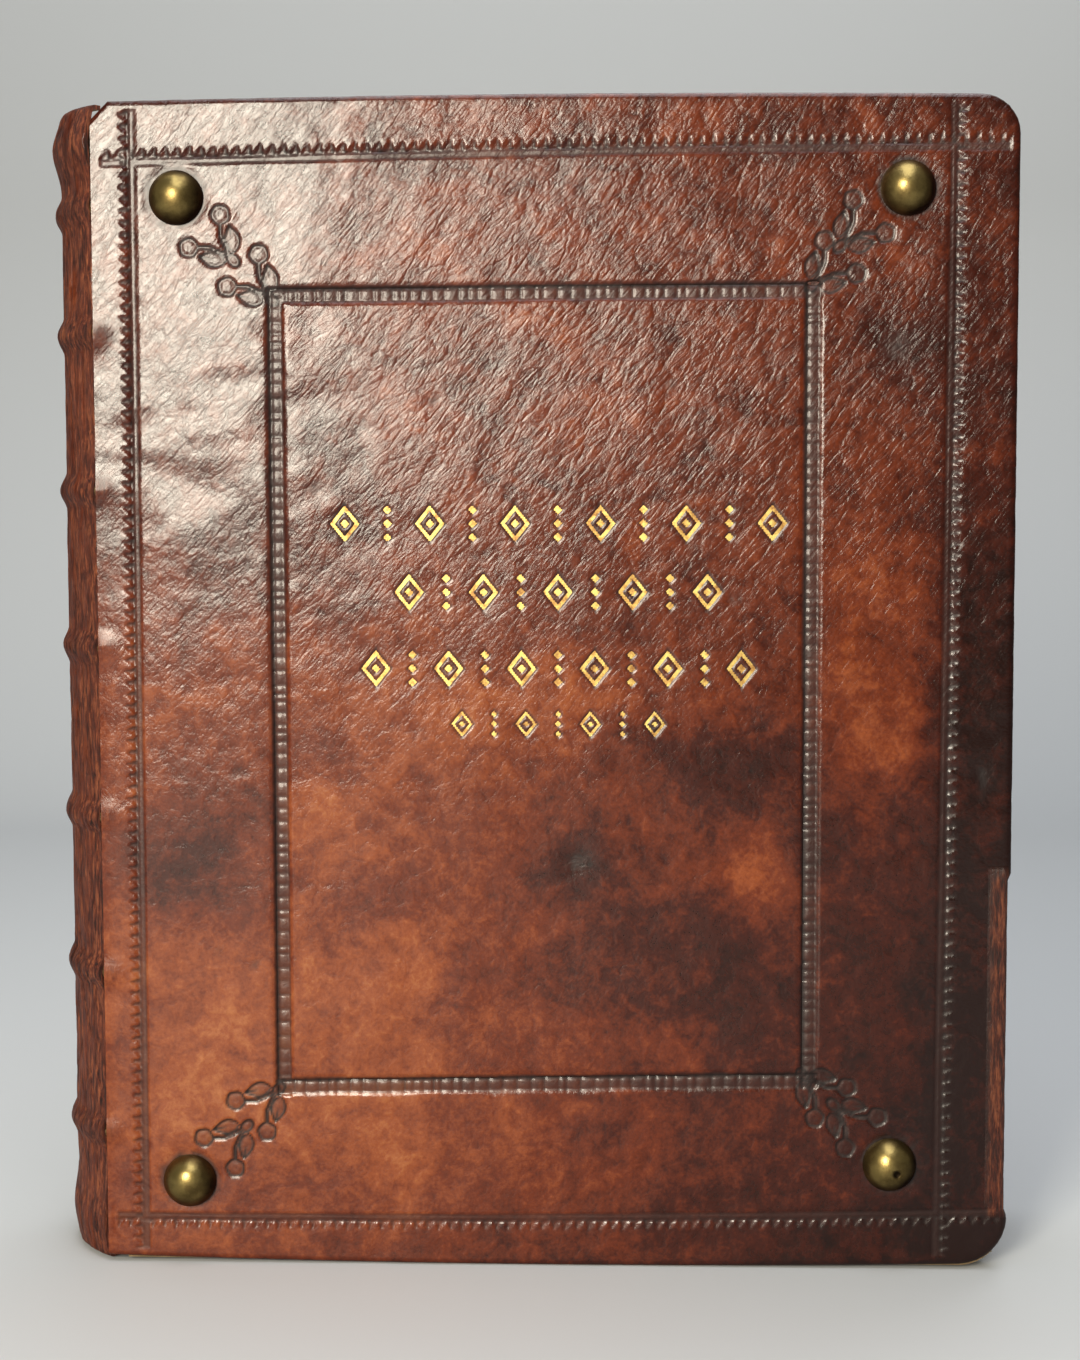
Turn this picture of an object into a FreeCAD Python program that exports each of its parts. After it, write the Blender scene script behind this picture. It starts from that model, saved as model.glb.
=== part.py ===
import FreeCAD, Part
import math
import os
import Sketcher

# Antique leather book, a large folio register in full calf.
# The book stands on the tail edge of its covers. +Z runs up the spine, the front cover faces -Y
# and the spine is on the -X side. The origin is at the bottom centre of the whole book.
# The sections are sewn on seven raised cords, whose ends are laced into two pasteboard covers.

vector = FreeCAD.Vector
doc = FreeCAD.newDocument("antique_leather_book")
sheet = doc.addObject("Spreadsheet::Sheet", "Size")


# Driving dimensions in millimetres

SIZES = {
    # covers
    "board_height": 350.0,
    "cover_width": 273.2,
    "board_thickness": 5.0,
    "head_corner_radius": 11.5,
    "tail_corner_radius": 14.5,
    "back_corner_head": 5.0,
    "back_corner_tail_width": 6.0,
    "back_corner_tail_height": 20.0,
    # covering leather on the boards
    "leather": 1.2,
    "edge_radius": 1.8,
    "turn_in": 0.7,
    "turn_in_width": 18.0,
    "edge_loss": 0.9,
    "edge_loss_start": 16.0,
    "edge_loss_end": 121.0,
    # paper
    "pastedown": 0.3,
    "pastedown_margin": 3.5,
    "pastedown_fit": 0.1,
    "block_thickness": 50.0,
    "square": 4.0,
    "fore_edge_hollow": 9.0,
    "cover_clearance": 0.3,
    # spine
    "spine_rounding": 15.0,
    "joint_depth": 1.6,
    "hinge_gap": 0.2,
    "lip": 1.2,
    "spine_leather": 1.4,
    "lining": 0.4,
    "lining_fit": 0.05,
    "cap_short": 0.5,
    "cap_leather": 1.2,
    "cap_reach": 2.4,
    "head_swell": 2.6,
    "tail_swell": 1.6,
    "swell_length": 24.0,
    "swell_peak": 11.0,
    "endband_fit": 0.05,
    # sewing
    "cord_radius": 2.2,
    "cord_fit": 0.05,
    "band_cover_fit": 0.15,
    "band_half_width": 5.5,
    "head_panel": 31.0,
    "tail_panel": 40.0,
    "band_1_shift": 0.0,
    "band_2_shift": 10.0,
    "band_3_shift": 9.5,
    "band_4_shift": 8.5,
    "band_5_shift": 4.0,
    "band_6_shift": 3.0,
    "band_7_shift": 0.0,
    "slip_length": 12.0,
    "slip_width": 4.4,
    "slip_depth": 2.0,
    "slip_fit": 0.1,
    # bosses
    "boss_radius": 8.0,
    "boss_height": 6.5,
    "boss_rim": 0.8,
    "shank_radius": 1.1,
    "shank_fit": 0.1,
    "boss_head_spine_x": 25.3,
    "boss_head_spine_drop": 28.4,
    "boss_head_fore_inset": 32.8,
    "boss_head_fore_drop": 27.0,
    "boss_tail_spine_x": 25.4,
    "boss_tail_spine_rise": 25.7,
    "boss_tail_fore_inset": 35.6,
    "boss_tail_fore_rise": 32.4,
    # blind tooling on the front cover
    "tool_depth": 0.4,
    "border_spine": 13.0,
    "border_fore": 21.4,
    "border_head": 17.7,
    "border_tail": 16.0,
    "border_overrun": 3.0,
    "fillet_width": 2.4,
    "tooth_pitch": 3.5,
    "tooth_height": 2.9,
    "tooth_lean": 0.9,
    "roll_width": 4.6,
    "roll_spine": 54.6,
    "roll_fore": 60.0,
    "roll_head": 56.8,
    "roll_tail": 56.3,
    "sprig_first": 6.5,
    "sprig_step": 16.9,
    "sprig_disc_radius": 2.9,
    "sprig_disc_along": 7.0,
    "sprig_disc_across": 6.7,
    "sprig_leaf_length": 7.2,
    "sprig_leaf_width": 3.6,
    "sprig_leaf_across": 4.4,
    "sprig_leaf_spread": 1.76,
    "sprig_stem": 1.1,
    "sprig_base": 5.0,
    "sprig_base_overrun": 2.0,
    "sprig_base_width": 3.3,
    # gilt ornament on the front cover
    "gilt_depth": 0.3,
    "gilt_leaf": 0.1,
    "gilt_fit": 0.02,
    "gilt_stroke": 1.4,
    "gilt_pitch_1": 12.7,
    "gilt_pitch_2": 11.1,
    "gilt_pitch_3": 10.9,
    "gilt_pitch_4": 9.6,
    "gilt_half_height": 5.5,
    "gilt_half_width": 4.4,
    "gilt_dot": 1.4,
    "gilt_off_centre": 4.1,
    "gilt_drop_1": 124.6,
    "gilt_drop_2": 145.0,
    "gilt_drop_3": 167.8,
    "gilt_drop_4": 184.4,
    "gilt_small": 0.72,
}

for row, (alias, number) in enumerate(SIZES.items(), start=1):
    sheet.set("A%d" % row, alias)
    sheet.set("B%d" % row, str(number))
    sheet.setAlias("B%d" % row, alias)
doc.recompute()


class Value:
    """A size that carries its number and the spreadsheet expression that gives it."""

    def __init__(self, number, text):
        self.number = float(number)
        self.text = text

    @staticmethod
    def of(other):
        if isinstance(other, Value):
            return other
        return Value(float(other), repr(float(other)))

    def join(self, other, sign, number):
        return Value(number, "(%s %s %s)" % (self.text, sign, other.text))

    def __add__(self, other):
        other = Value.of(other)
        return self.join(other, "+", self.number + other.number)

    def __sub__(self, other):
        other = Value.of(other)
        return self.join(other, "-", self.number - other.number)

    def __mul__(self, other):
        other = Value.of(other)
        return self.join(other, "*", self.number * other.number)

    def __truediv__(self, other):
        other = Value.of(other)
        return self.join(other, "/", self.number / other.number)

    def __neg__(self):
        return Value.of(0) - self

    def __float__(self):
        return self.number


def size(alias):
    return Value(sheet.get(alias), "Size." + alias)


def root(value):
    return Value(math.sqrt(value.number), "sqrt(%s)" % value.text)


def larger(first, second):
    return Value(max(first.number, second.number), "max(%s; %s)" % (first.text, second.text))


def arc_radius(half_chord, rise):
    return (half_chord * half_chord + rise * rise) / (rise * 2)


# Sizes worked out from the driving dimensions

height = size("board_height")
leather = size("leather")
board = size("board_thickness")
board_inside = leather + board
cover_inside = board_inside + size("turn_in")
cover_thickness = cover_inside + size("pastedown")
half_block = size("block_thickness") / 2
outer_plane = half_block + size("cover_clearance") + cover_thickness
mid_y = size("boss_height") / 2

cord_radius = size("cord_radius")
band_proud = cord_radius + size("band_cover_fit") - size("lining")
spine_proud = larger(band_proud, size("head_swell"))
spine_radius = arc_radius(outer_plane - size("joint_depth"), size("spine_rounding"))
lining_radius = spine_radius - size("spine_leather")
back_radius = lining_radius - size("lining")
shoulder = spine_radius - size("spine_rounding")
hinge_x = (size("spine_rounding") + spine_proud - size("cover_width")) / 2
spine_axis_x = hinge_x - size("hinge_gap") + shoulder
cover_x = hinge_x + size("hinge_gap")


def band_height(number):
    """Height of a band, counted from the head. The bands divide the back evenly, each with a shift."""
    panel = (height - size("head_panel") - size("tail_panel")) / (BAND_COUNT - 1)
    return size("tail_panel") + panel * (BAND_COUNT - number) + size("band_%d_shift" % number)


BAND_COUNT = 7
bands = [band_height(number) for number in range(1, BAND_COUNT + 1)]


# Sketches, pads and pockets

def place(thing, x, y, z):
    for axis, value in (("x", x), ("y", y), ("z", z)):
        thing.setExpression(".Placement.Base." + axis, Value.of(value).text)


def new_body(name):
    body = doc.addObject("PartDesign::Body", name)
    body.Label = name
    body.AllowCompound = True
    return body


def new_sketch(body, name, plane, offset=0):
    sketch = body.newObject("Sketcher::SketchObject", name)
    origin = [feature for feature in body.Origin.OriginFeatures if feature.Role == plane][0]
    sketch.AttachmentSupport = (origin, "")
    sketch.MapMode = "FlatFace"
    sketch.setExpression(".AttachmentOffset.Base.z", Value.of(offset).text)
    return sketch


def fix(sketch, kind, geometry, value):
    """Adds one constraint whose size is bound to an expression."""
    index = sketch.addConstraint(Sketcher.Constraint(kind, *geometry, value.number))
    sketch.setExpression("Constraints[%d]" % index, value.text)


def draw(sketch, corners):
    """Draws a closed outline. A corner is (x, y), or (x, y, radius) where an arc leaves it.

    A positive radius bulges to the right of the way that the outline runs, a negative one to the left.
    """
    points = [(Value.of(corner[0]), Value.of(corner[1])) for corner in corners]
    spots = [vector(x.number, y.number, 0) for x, y in points]
    edges = []
    for number, corner in enumerate(corners):
        start = spots[number]
        end = spots[(number + 1) % len(corners)]
        if len(corner) == 2:
            index = sketch.addGeometry(Part.LineSegment(start, end), False)
            edges.append((index, 1, 2))
            continue
        radius = Value.of(corner[2])
        chord = end - start
        reach = abs(radius.number)
        rise = reach - math.sqrt(reach * reach - chord.Length ** 2 / 4)
        right = vector(chord.y, -chord.x, 0).normalize()
        middle = (start + end) / 2 + right * math.copysign(rise, radius.number)
        index = sketch.addGeometry(Part.Arc(start, middle, end), False)
        first = sketch.getPoint(index, 1)
        forward = first.distanceToPoint(start) < first.distanceToPoint(end)
        edges.append((index, 1, 2) if forward else (index, 2, 1))
        fix(sketch, "Radius", (index,), radius if radius.number > 0 else -radius)
    for number, (index, first, last) in enumerate(edges):
        following = edges[(number + 1) % len(edges)]
        sketch.addConstraint(Sketcher.Constraint("Coincident", index, last, following[0], following[1]))
        x, y = points[number]
        fix(sketch, "DistanceX", (-1, 1, index, first), x)
        fix(sketch, "DistanceY", (-1, 1, index, first), y)


def draw_circle(sketch, x, y, radius):
    centre = vector(float(x), float(y), 0)
    index = sketch.addGeometry(Part.Circle(centre, vector(0, 0, 1), float(radius)), False)
    fix(sketch, "DistanceX", (-1, 1, index, 3), Value.of(x))
    fix(sketch, "DistanceY", (-1, 1, index, 3), Value.of(y))
    fix(sketch, "Radius", (index,), Value.of(radius))


def rectangle(x0, y0, x1, y1):
    return [(x0, y0), (x1, y0), (x1, y1), (x0, y1)]


def extrude(body, kind, name, sketch, length, reverse=False):
    feature = body.newObject("PartDesign::" + kind, name)
    feature.Profile = sketch
    feature.setExpression("Length", Value.of(length).text)
    feature.Reversed = reverse
    return feature


def turn(body, kind, name, sketch, angle):
    """Revolves a sketch about the body's upright axis, by half the angle to each side of -X."""
    feature = body.newObject("PartDesign::" + kind, name)
    feature.Profile = sketch
    feature.ReferenceAxis = (sketch, ["V_Axis"])
    feature.Angle = angle
    feature.Midplane = True
    return feature


def trim_spine(body, name, depth):
    """Cuts a spine piece off at the shoulder plane, and at a depth to each side of the middle."""
    beyond = spine_radius * 2
    sketch = new_sketch(body, name + "_trim", "XY_Plane")
    draw(sketch, [
        (-beyond, depth),
        (-shoulder, depth),
        (-shoulder, -depth),
        (-beyond, -depth),
        (-beyond, -beyond),
        (beyond, -beyond),
        (beyond, beyond),
        (-beyond, beyond),
    ])
    pocket = extrude(body, "Pocket", name + "_ends", sketch, height * 2)
    pocket.Midplane = True


# Text block: sewn and glued leaves, one solid. Its back is rounded, with a shoulder that each
# board lies against, its fore-edge is hollow, and each cord has a groove in the back.

def make_text_block():
    body = new_body("text_block")
    place(body, spine_axis_x, mid_y, size("square"))
    lip_x = -shoulder - size("lip")
    tip_y = root(back_radius * back_radius - lip_x * lip_x)
    fore_x = size("cover_width") - size("square") + size("hinge_gap") * 2 - shoulder
    hollow = arc_radius(half_block, size("fore_edge_hollow"))
    section = new_sketch(body, "leaf_section", "XY_Plane")
    draw(section, [
        (-shoulder, -half_block),
        (fore_x, -half_block, -hollow),
        (fore_x, half_block),
        (-shoulder, half_block),
        (-shoulder, tip_y),
        (lip_x, tip_y, back_radius),
        (lip_x, -tip_y),
        (-shoulder, -tip_y),
    ])
    extrude(body, "Pad", "leaves", section, height - size("square") * 2)
    grooves = new_sketch(body, "cord_grooves", "XZ_Plane")
    for band in bands:
        draw_circle(grooves, -back_radius, band - size("square"), cord_radius + size("cord_fit"))
    turn(body, "Groove", "sewing_grooves", grooves, 180)
    return body


# Sewing cords: seven raised hemp cords, each half sunk in the back of the leaves.

def make_cord(number, band):
    body = new_body("sewing_cord_%d" % number)
    place(body, spine_axis_x, mid_y, band)
    section = new_sketch(body, "cord_section_%d" % number, "XZ_Plane")
    draw_circle(section, -back_radius, 0, cord_radius)
    turn(body, "Revolution", "cord_%d" % number, section, 180)
    trim_spine(body, "cord_%d" % number, outer_plane)
    return body


# Endbands: a wound core at the head and the tail of the back, under each leather cap.

endband_radius = (size("square") - size("cap_short") - size("cap_leather")) / 2 - size("endband_fit")


def make_endband(name, centre_z):
    body = new_body(name)
    place(body, spine_axis_x, mid_y, centre_z)
    section = new_sketch(body, name + "_section", "XZ_Plane")
    draw_circle(section, -(back_radius - endband_radius - size("endband_fit")), 0, endband_radius)
    turn(body, "Revolution", name + "_core", section, 180)
    trim_spine(body, name, half_block - size("cover_clearance"))
    return body


# Spine linings: strips of waste paper glued to the back between the cords.

def make_linings():
    body = new_body("spine_linings")
    place(body, spine_axis_x, mid_y, 0)
    inner = back_radius + size("lining_fit")
    outer = lining_radius - size("lining_fit")
    ends = [height - size("square")] + bands + [size("square")]
    section = new_sketch(body, "lining_section", "XZ_Plane")
    clear = size("band_half_width")
    for number in range(len(ends) - 1):
        top = ends[number] - (clear if number else size("lining_fit"))
        bottom = ends[number + 1] + (clear if number < len(bands) else size("lining_fit"))
        draw(section, rectangle(-outer, bottom, -inner, top))
    turn(body, "Revolution", "lining_strips", section, 180)
    trim_spine(body, "lining", outer_plane)
    return body


# Spine leather: one strip of calf glued over the cords and moulded round them. It swells over the
# endbands, and is turned in at the head and the tail as a cap.

def make_spine_leather():
    body = new_body("spine_leather")
    place(body, spine_axis_x, mid_y, 0)
    top = height - size("cap_short")
    bottom = size("cap_short")
    cap_tip = -(back_radius - size("cap_reach"))
    cap_round = size("spine_leather")
    half_width = size("band_half_width")
    inner_half = half_width - size("spine_leather") * 0.8
    outer_bump = arc_radius(half_width, band_proud)
    inner_bump = arc_radius(inner_half, band_proud)
    head_x = -(spine_radius + size("head_swell"))
    tail_x = -(spine_radius + size("tail_swell"))
    swell = size("swell_length")
    peak = size("swell_peak")
    outline = [
        (cap_tip, bottom),
        (-spine_radius, bottom, -(peak * 3)),
        (tail_x, bottom + peak, -(swell * 3)),
        (-spine_radius, bottom + swell),
    ]
    for band in reversed(bands):
        outline.append((-spine_radius, band - half_width, -outer_bump))
        outline.append((-spine_radius, band + half_width))
    outline += [
        (-spine_radius, top - swell, -(swell * 3)),
        (head_x, top - peak, -(peak * 2)),
        (-spine_radius, top),
        (cap_tip, top),
        (cap_tip, top - size("cap_leather")),
        (-lining_radius, top - size("cap_leather")),
    ]
    for band in bands:
        outline.append((-lining_radius, band + inner_half, inner_bump))
        outline.append((-lining_radius, band - inner_half))
    outline += [
        (-lining_radius, bottom + size("cap_leather")),
        (cap_tip, bottom + size("cap_leather")),
    ]
    section = new_sketch(body, "spine_section", "XZ_Plane")
    draw(section, outline)
    turn(body, "Revolution", "spine_skin", section, 180)
    trim_spine(body, "spine", outer_plane - size("hinge_gap"))
    return body


# Covers. Each is worked out from its own outer face: x runs from the joint to the fore-edge, and
# depth runs from the outer face to the leaves. The front cover faces -Y, the rear cover +Y.

class Cover:
    def __init__(self, name, side):
        self.name = name
        self.side = side
        self.inwards = side < 0

    def body(self, node):
        body = new_body("%s_%s" % (self.name, node))
        place(body, cover_x, mid_y + outer_plane * self.side, 0)
        return body

    def sketch(self, body, name, depth=0):
        return new_sketch(body, "%s_%s" % (self.name, name), "XZ_Plane", Value.of(depth) * self.side)

    def pad(self, body, name, sketch, length):
        return extrude(body, "Pad", "%s_%s" % (self.name, name), sketch, length, self.inwards)

    def pocket(self, body, name, sketch, length):
        return extrude(body, "Pocket", "%s_%s" % (self.name, name), sketch, length, not self.inwards)


def cover_outline(inset, tail_back_corner):
    """Outline of a cover, or of the board inside it, which is smaller by the leather on three sides."""
    width = size("cover_width") - inset
    top = height - inset
    head_round = size("head_corner_radius") - inset
    tail_round = size("tail_corner_radius") - inset
    outline = [(0, height - size("back_corner_head") - inset)]
    if tail_back_corner:
        outline.append((0, size("back_corner_tail_height")))
        outline.append((size("back_corner_tail_width"), inset))
    else:
        outline.append((0, inset))
    outline += [
        (width - tail_round, inset, tail_round),
        (width, inset + tail_round),
        (width, top - head_round, head_round),
        (width - head_round, top),
        (size("back_corner_head"), top),
    ]
    return outline


boss_places = {
    "boss_head_spine": (size("boss_head_spine_x"), height - size("boss_head_spine_drop")),
    "boss_head_fore": (
        size("cover_width") - size("boss_head_fore_inset"),
        height - size("boss_head_fore_drop"),
    ),
    "boss_tail_spine": (size("boss_tail_spine_x"), size("boss_tail_spine_rise")),
    "boss_tail_fore": (
        size("cover_width") - size("boss_tail_fore_inset"),
        size("boss_tail_fore_rise"),
    ),
}


def shank_holes(cover, body, length, depth=0):
    holes = cover.sketch(body, body.Name + "_shank_places", depth)
    for x, z in boss_places.values():
        draw_circle(holes, x, z, size("shank_radius") + size("shank_fit"))
    cover.pocket(body, body.Name + "_shank_holes", holes, length)


def slip_end(fit):
    return size("slip_length") - size("slip_width") / 2, size("slip_width") / 2 + fit


# Board: pasteboard with a channel and a hole for each laced-in cord end.

def make_board(cover):
    body = cover.body("board")
    outline = cover.sketch(body, "board_outline", leather)
    draw(outline, cover_outline(leather, True))
    cover.pad(body, "pasteboard", outline, board)
    fit = size("slip_fit")
    half = size("slip_width") / 2 + fit
    channels = cover.sketch(body, "slip_channels", leather)
    for band in bands:
        draw(channels, rectangle(-fit, band - half, size("slip_length") + fit, band + half))
    cover.pocket(body, "channels", channels, size("slip_depth"))
    holes = cover.sketch(body, "slip_holes", leather)
    reach, radius = slip_end(fit)
    for band in bands:
        draw_circle(holes, reach, band, radius)
    cover.pocket(body, "lacing_holes", holes, board * 2)
    if cover.name == "front":
        shank_holes(cover, body, board * 2, leather)
    return body


# Slips: the cord ends, laid in their channels and laced down through the board.

def make_slips(cover):
    body = cover.body("slips")
    strips = cover.sketch(body, "slip_strips", leather)
    half = size("slip_width") / 2
    for band in bands:
        draw(strips, rectangle(0, band - half, size("slip_length"), band + half))
    cover.pad(body, "slip_flats", strips, size("slip_depth"))
    pegs = cover.sketch(body, "slip_ends", leather)
    reach, radius = slip_end(Value.of(0))
    for band in bands:
        draw_circle(pegs, reach, band, radius)
    cover.pad(body, "slip_pegs", pegs, board)
    return body


# Covering leather: one skin of calf over the outer face and round three edges, turned in under
# the pastedown. The board lies in it, and the fore-edge has lost its outer layer near the tail.

def make_leather(cover):
    body = cover.body("leather")
    outline = cover.sketch(body, "leather_outline")
    draw(outline, cover_outline(Value.of(0), False))
    skin = cover.pad(body, "skin", outline, cover_inside)
    doc.recompute()
    soften_edges(cover, body, skin)
    doc.recompute()
    cavity = cover.sketch(body, "board_cavity", leather)
    draw(cavity, cover_outline(leather, True))
    cover.pocket(body, "board_room", cavity, board)
    window = cover.sketch(body, "turn_in_window", board_inside)
    margin = size("turn_in_width")
    past = size("back_corner_tail_width")
    draw(window, rectangle(-past, margin, size("cover_width") - margin, height - margin))
    cover.pocket(body, "turn_in_opening", window, size("turn_in") * 2)
    if cover.name == "front":
        shank_holes(cover, body, leather * 2)
        loss = cover.sketch(body, "lost_leather")
        edge = size("cover_width")
        draw(loss, rectangle(
            edge - size("edge_loss"), size("edge_loss_start"),
            edge + size("edge_loss"), size("edge_loss_end"),
        ))
        cover.pocket(body, "edge_loss", loss, cover_inside * 2)
    return body


def soften_edges(cover, body, skin):
    """Rounds the outer edge of the skin where the leather wraps the board: head, fore-edge and tail."""
    outer_y = skin.Shape.BoundBox.YMin if cover.side < 0 else skin.Shape.BoundBox.YMax
    names = []
    for number, edge in enumerate(skin.Shape.Edges, start=1):
        box = edge.BoundBox
        flat_on_face = abs(box.YMin - outer_y) < 0.01 and abs(box.YMax - outer_y) < 0.01
        away_from_joint = box.XMax > size("back_corner_head").number + skin.Shape.BoundBox.XMin + 0.01
        if flat_on_face and away_from_joint:
            names.append("Edge%d" % number)
    rounding = body.newObject("PartDesign::Fillet", cover.name + "_edge_rounding")
    rounding.Base = (skin, names)
    rounding.setExpression("Radius", size("edge_radius").text)


# Pastedown: the outer leaf of the endpaper, glued over the board and the turned-in leather.

def make_pastedown(cover):
    body = cover.body("pastedown")
    margin = size("pastedown_margin")
    sheet_outline = cover.sketch(body, "pastedown_outline", cover_inside)
    draw(sheet_outline, rectangle(margin / 2, margin, size("cover_width") - margin, height - margin))
    cover.pad(body, "pastedown_sheet", sheet_outline, size("pastedown"))
    inside = size("turn_in_width") + size("pastedown_fit")
    sunk = cover.sketch(body, "pastedown_sunk", board_inside)
    draw(sunk, rectangle(margin / 2, inside, size("cover_width") - inside, height - inside))
    cover.pad(body, "pastedown_fill", sunk, size("turn_in"))
    return body


# Bosses: cast brass domes, each nailed through leather and board by its own shank.

def make_boss(name, x, z):
    body = new_body(name)
    place(body, cover_x + x, mid_y - outer_plane, z)
    body.Placement.Rotation = FreeCAD.Rotation(vector(1, 0, 0), 90)
    radius = size("boss_radius")
    shank = size("shank_radius")
    dome = arc_radius(radius, size("boss_height") - size("boss_rim"))
    section = new_sketch(body, name + "_section", "XZ_Plane")
    draw(section, [
        (0, -board_inside),
        (shank, -board_inside),
        (shank, 0),
        (radius, 0),
        (radius, size("boss_rim"), dome),
        (0, size("boss_height")),
    ])
    feature = body.newObject("PartDesign::Revolution", name + "_dome")
    feature.Profile = section
    feature.ReferenceAxis = (section, ["V_Axis"])
    feature.Angle = 360
    return body


# Blind tooling: a sawtooth border beside a double fillet, a frame made with a roll, and a pair of
# sprigs in each corner between them, all pressed into the front cover.

def plate(points, depth, start=None):
    """A flat solid with its outline in x and z, from above the face to a depth under it."""
    above = -depth if start is None else start
    spots = [vector(x, above, z) for x, z in points]
    face = Part.Face(Part.makePolygon(spots + spots[:1]))
    return face.extrude(vector(0, depth - above, 0))


def disc(x, z, radius, depth):
    return Part.makeCylinder(radius, 2 * depth, vector(x, -depth, z), vector(0, 1, 0))


def lens(foot, tip, width, depth):
    """A leaf with two curved sides from its foot to its tip."""
    start = vector(foot[0], -depth, foot[1])
    end = vector(tip[0], -depth, tip[1])
    along = end - start
    across = vector(-along.z, 0, along.x).normalize() * (width / 2)
    middle = (start + end) / 2
    sides = [Part.Arc(start, middle + across, end), Part.Arc(end, middle - across, start)]
    face = Part.Face(Part.Wire([side.toShape() for side in sides]))
    return face.extrude(vector(0, 2 * depth, 0))


def sawtooth_strip(start, along, outwards, length, depth):
    """A pressed strip with teeth on its outer side."""
    pitch = float(size("tooth_pitch"))
    fillet = float(size("fillet_width"))
    tip = fillet + float(size("tooth_height"))
    lean = float(size("tooth_lean"))
    profile = [(length, 0), (0, 0), (0, fillet)]
    for number in range(int(length / pitch)):
        foot = number * pitch
        profile.append((foot + pitch / 2 + lean, tip))
        profile.append((foot + pitch, fillet))
    profile.append((length, fillet))
    corners = [(start + along * run + outwards * rise) for run, rise in dict.fromkeys(profile)]
    return plate([(corner.x, corner.z) for corner in corners], depth)


def sprig(x, z, right, up, depth):
    """Two flowers on curved stems over a pair of leaves, pointing to a corner of the cover."""
    along = vector(right, 0, up).normalize()
    across = vector(-along.z, 0, along.x)

    def spot(run, rise):
        point = vector(x, 0, z) + along * run + across * rise
        return point.x, point.z

    stem = float(size("sprig_stem"))
    flower = (float(size("sprig_disc_along")), float(size("sprig_disc_across")))
    leaf_across = float(size("sprig_leaf_across"))
    leaf_spread = float(size("sprig_leaf_spread"))
    leaf_half = float(size("sprig_leaf_length")) / 2
    base = float(size("sprig_base"))
    foot = -base - float(size("sprig_base_overrun"))
    pieces = [lens(spot(foot, 0), spot(1, 0), float(size("sprig_base_width")), depth)]
    for hand in (1, -1):
        pieces.append(disc(*spot(flower[0], hand * flower[1]), float(size("sprig_disc_radius")), depth))
        pieces.append(lens(spot(-base, 0), spot(flower[0], hand * flower[1]), stem, depth))
        pieces.append(lens(
            spot(-leaf_half, hand * (leaf_across - leaf_spread)),
            spot(leaf_half, hand * (leaf_across + leaf_spread)),
            float(size("sprig_leaf_width")), depth,
        ))
    return pieces


def blind_tooling(depth):
    width = float(size("cover_width"))
    tall = float(height)
    overrun = float(size("border_overrun"))
    left = float(size("border_spine"))
    right = width - float(size("border_fore"))
    top = tall - float(size("border_head"))
    bottom = float(size("border_tail"))
    across = vector(1, 0, 0)
    upright = vector(0, 0, 1)
    pieces = [
        sawtooth_strip(vector(left, 0, overrun), upright, -across, tall - 2 * overrun, depth),
        sawtooth_strip(vector(right, 0, overrun), upright, across, tall - 2 * overrun, depth),
        sawtooth_strip(vector(overrun, 0, top), across, upright, width - 2 * overrun, depth),
        sawtooth_strip(vector(overrun, 0, bottom), across, -upright, width - 2 * overrun, depth),
    ]
    half = float(size("roll_width")) / 2
    x0 = float(size("roll_spine"))
    x1 = width - float(size("roll_fore"))
    z0 = float(size("roll_tail"))
    z1 = tall - float(size("roll_head"))
    outer = plate(rectangle(x0 - half, z0 - half, x1 + half, z1 + half), depth)
    inner = plate(rectangle(x0 + half, z0 + half, x1 - half, z1 - half), depth)
    pieces.append(outer.cut(inner))
    first = float(size("sprig_first"))
    step = float(size("sprig_step"))
    for corner_x, right_way in ((x0, -1), (x1, 1)):
        for corner_z, up_way in ((z0, -1), (z1, 1)):
            for number in range(2):
                away = (first + step * number) / math.sqrt(2)
                x = corner_x + right_way * away
                z = corner_z + up_way * away
                pieces += sprig(x, z, right_way, up_way, depth)
    return pieces


# Gilt ornament: four rows of lozenges and small diamonds in gold leaf, pressed into the front cover.

def diamond(x, z, half_width, half_height):
    return [(x - half_width, z), (x, z - half_height), (x + half_width, z), (x, z + half_height)]


def gilt_motif(x, z, scale, number, grow, top, depth):
    """Odd places take an open lozenge with a diamond in it, even places three diamonds one above another."""
    half_width = float(size("gilt_half_width")) * scale
    half_height = float(size("gilt_half_height")) * scale
    dot = float(size("gilt_dot")) * scale
    stroke = float(size("gilt_stroke")) * scale
    slope = half_height / half_width
    reach = dot + grow
    pieces = [plate(diamond(x, z, reach, reach), depth, top)]
    if number % 2:
        for way in (1, -1):
            centre = z + way * (half_height - dot)
            pieces.append(plate(diamond(x, centre, reach, reach), depth, top))
        return pieces
    inner = half_width - stroke
    outside = plate(diamond(x, z, half_width + grow, half_height + grow * slope), depth, top)
    inside = plate(diamond(x, z, inner - grow, (inner - grow) * slope), depth, top)
    pieces.append(outside.cut(inside))
    return pieces


gilt_centre = (size("roll_spine") + size("cover_width") - size("roll_fore")) / 2 + size("gilt_off_centre")


def gilt_rows(grow, top, depth):
    small = float(size("gilt_small"))
    pieces = []
    for row, count, scale in ((1, 11, 1.0), (2, 9, 1.0), (3, 11, 1.0), (4, 7, small)):
        pitch = float(size("gilt_pitch_%d" % row))
        z = float(height - size("gilt_drop_%d" % row))
        for number in range(count):
            x = float(gilt_centre) + (number - (count - 1) / 2) * pitch
            pieces += gilt_motif(x, z, scale, number, grow, top, depth)
    return pieces


def placed_feature(name, shape):
    feature = doc.addObject("Part::Feature", name)
    feature.Label = name
    feature.Shape = shape
    place(feature, cover_x, mid_y - outer_plane, 0)
    return feature


# The book put together

parts = [make_text_block(), make_spine_leather(), make_linings()]
parts += [make_cord(number, band) for number, band in enumerate(bands, start=1)]
seat = size("square") - endband_radius - size("endband_fit")
parts.append(make_endband("headband", height - seat))
parts.append(make_endband("tailband", seat))

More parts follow.
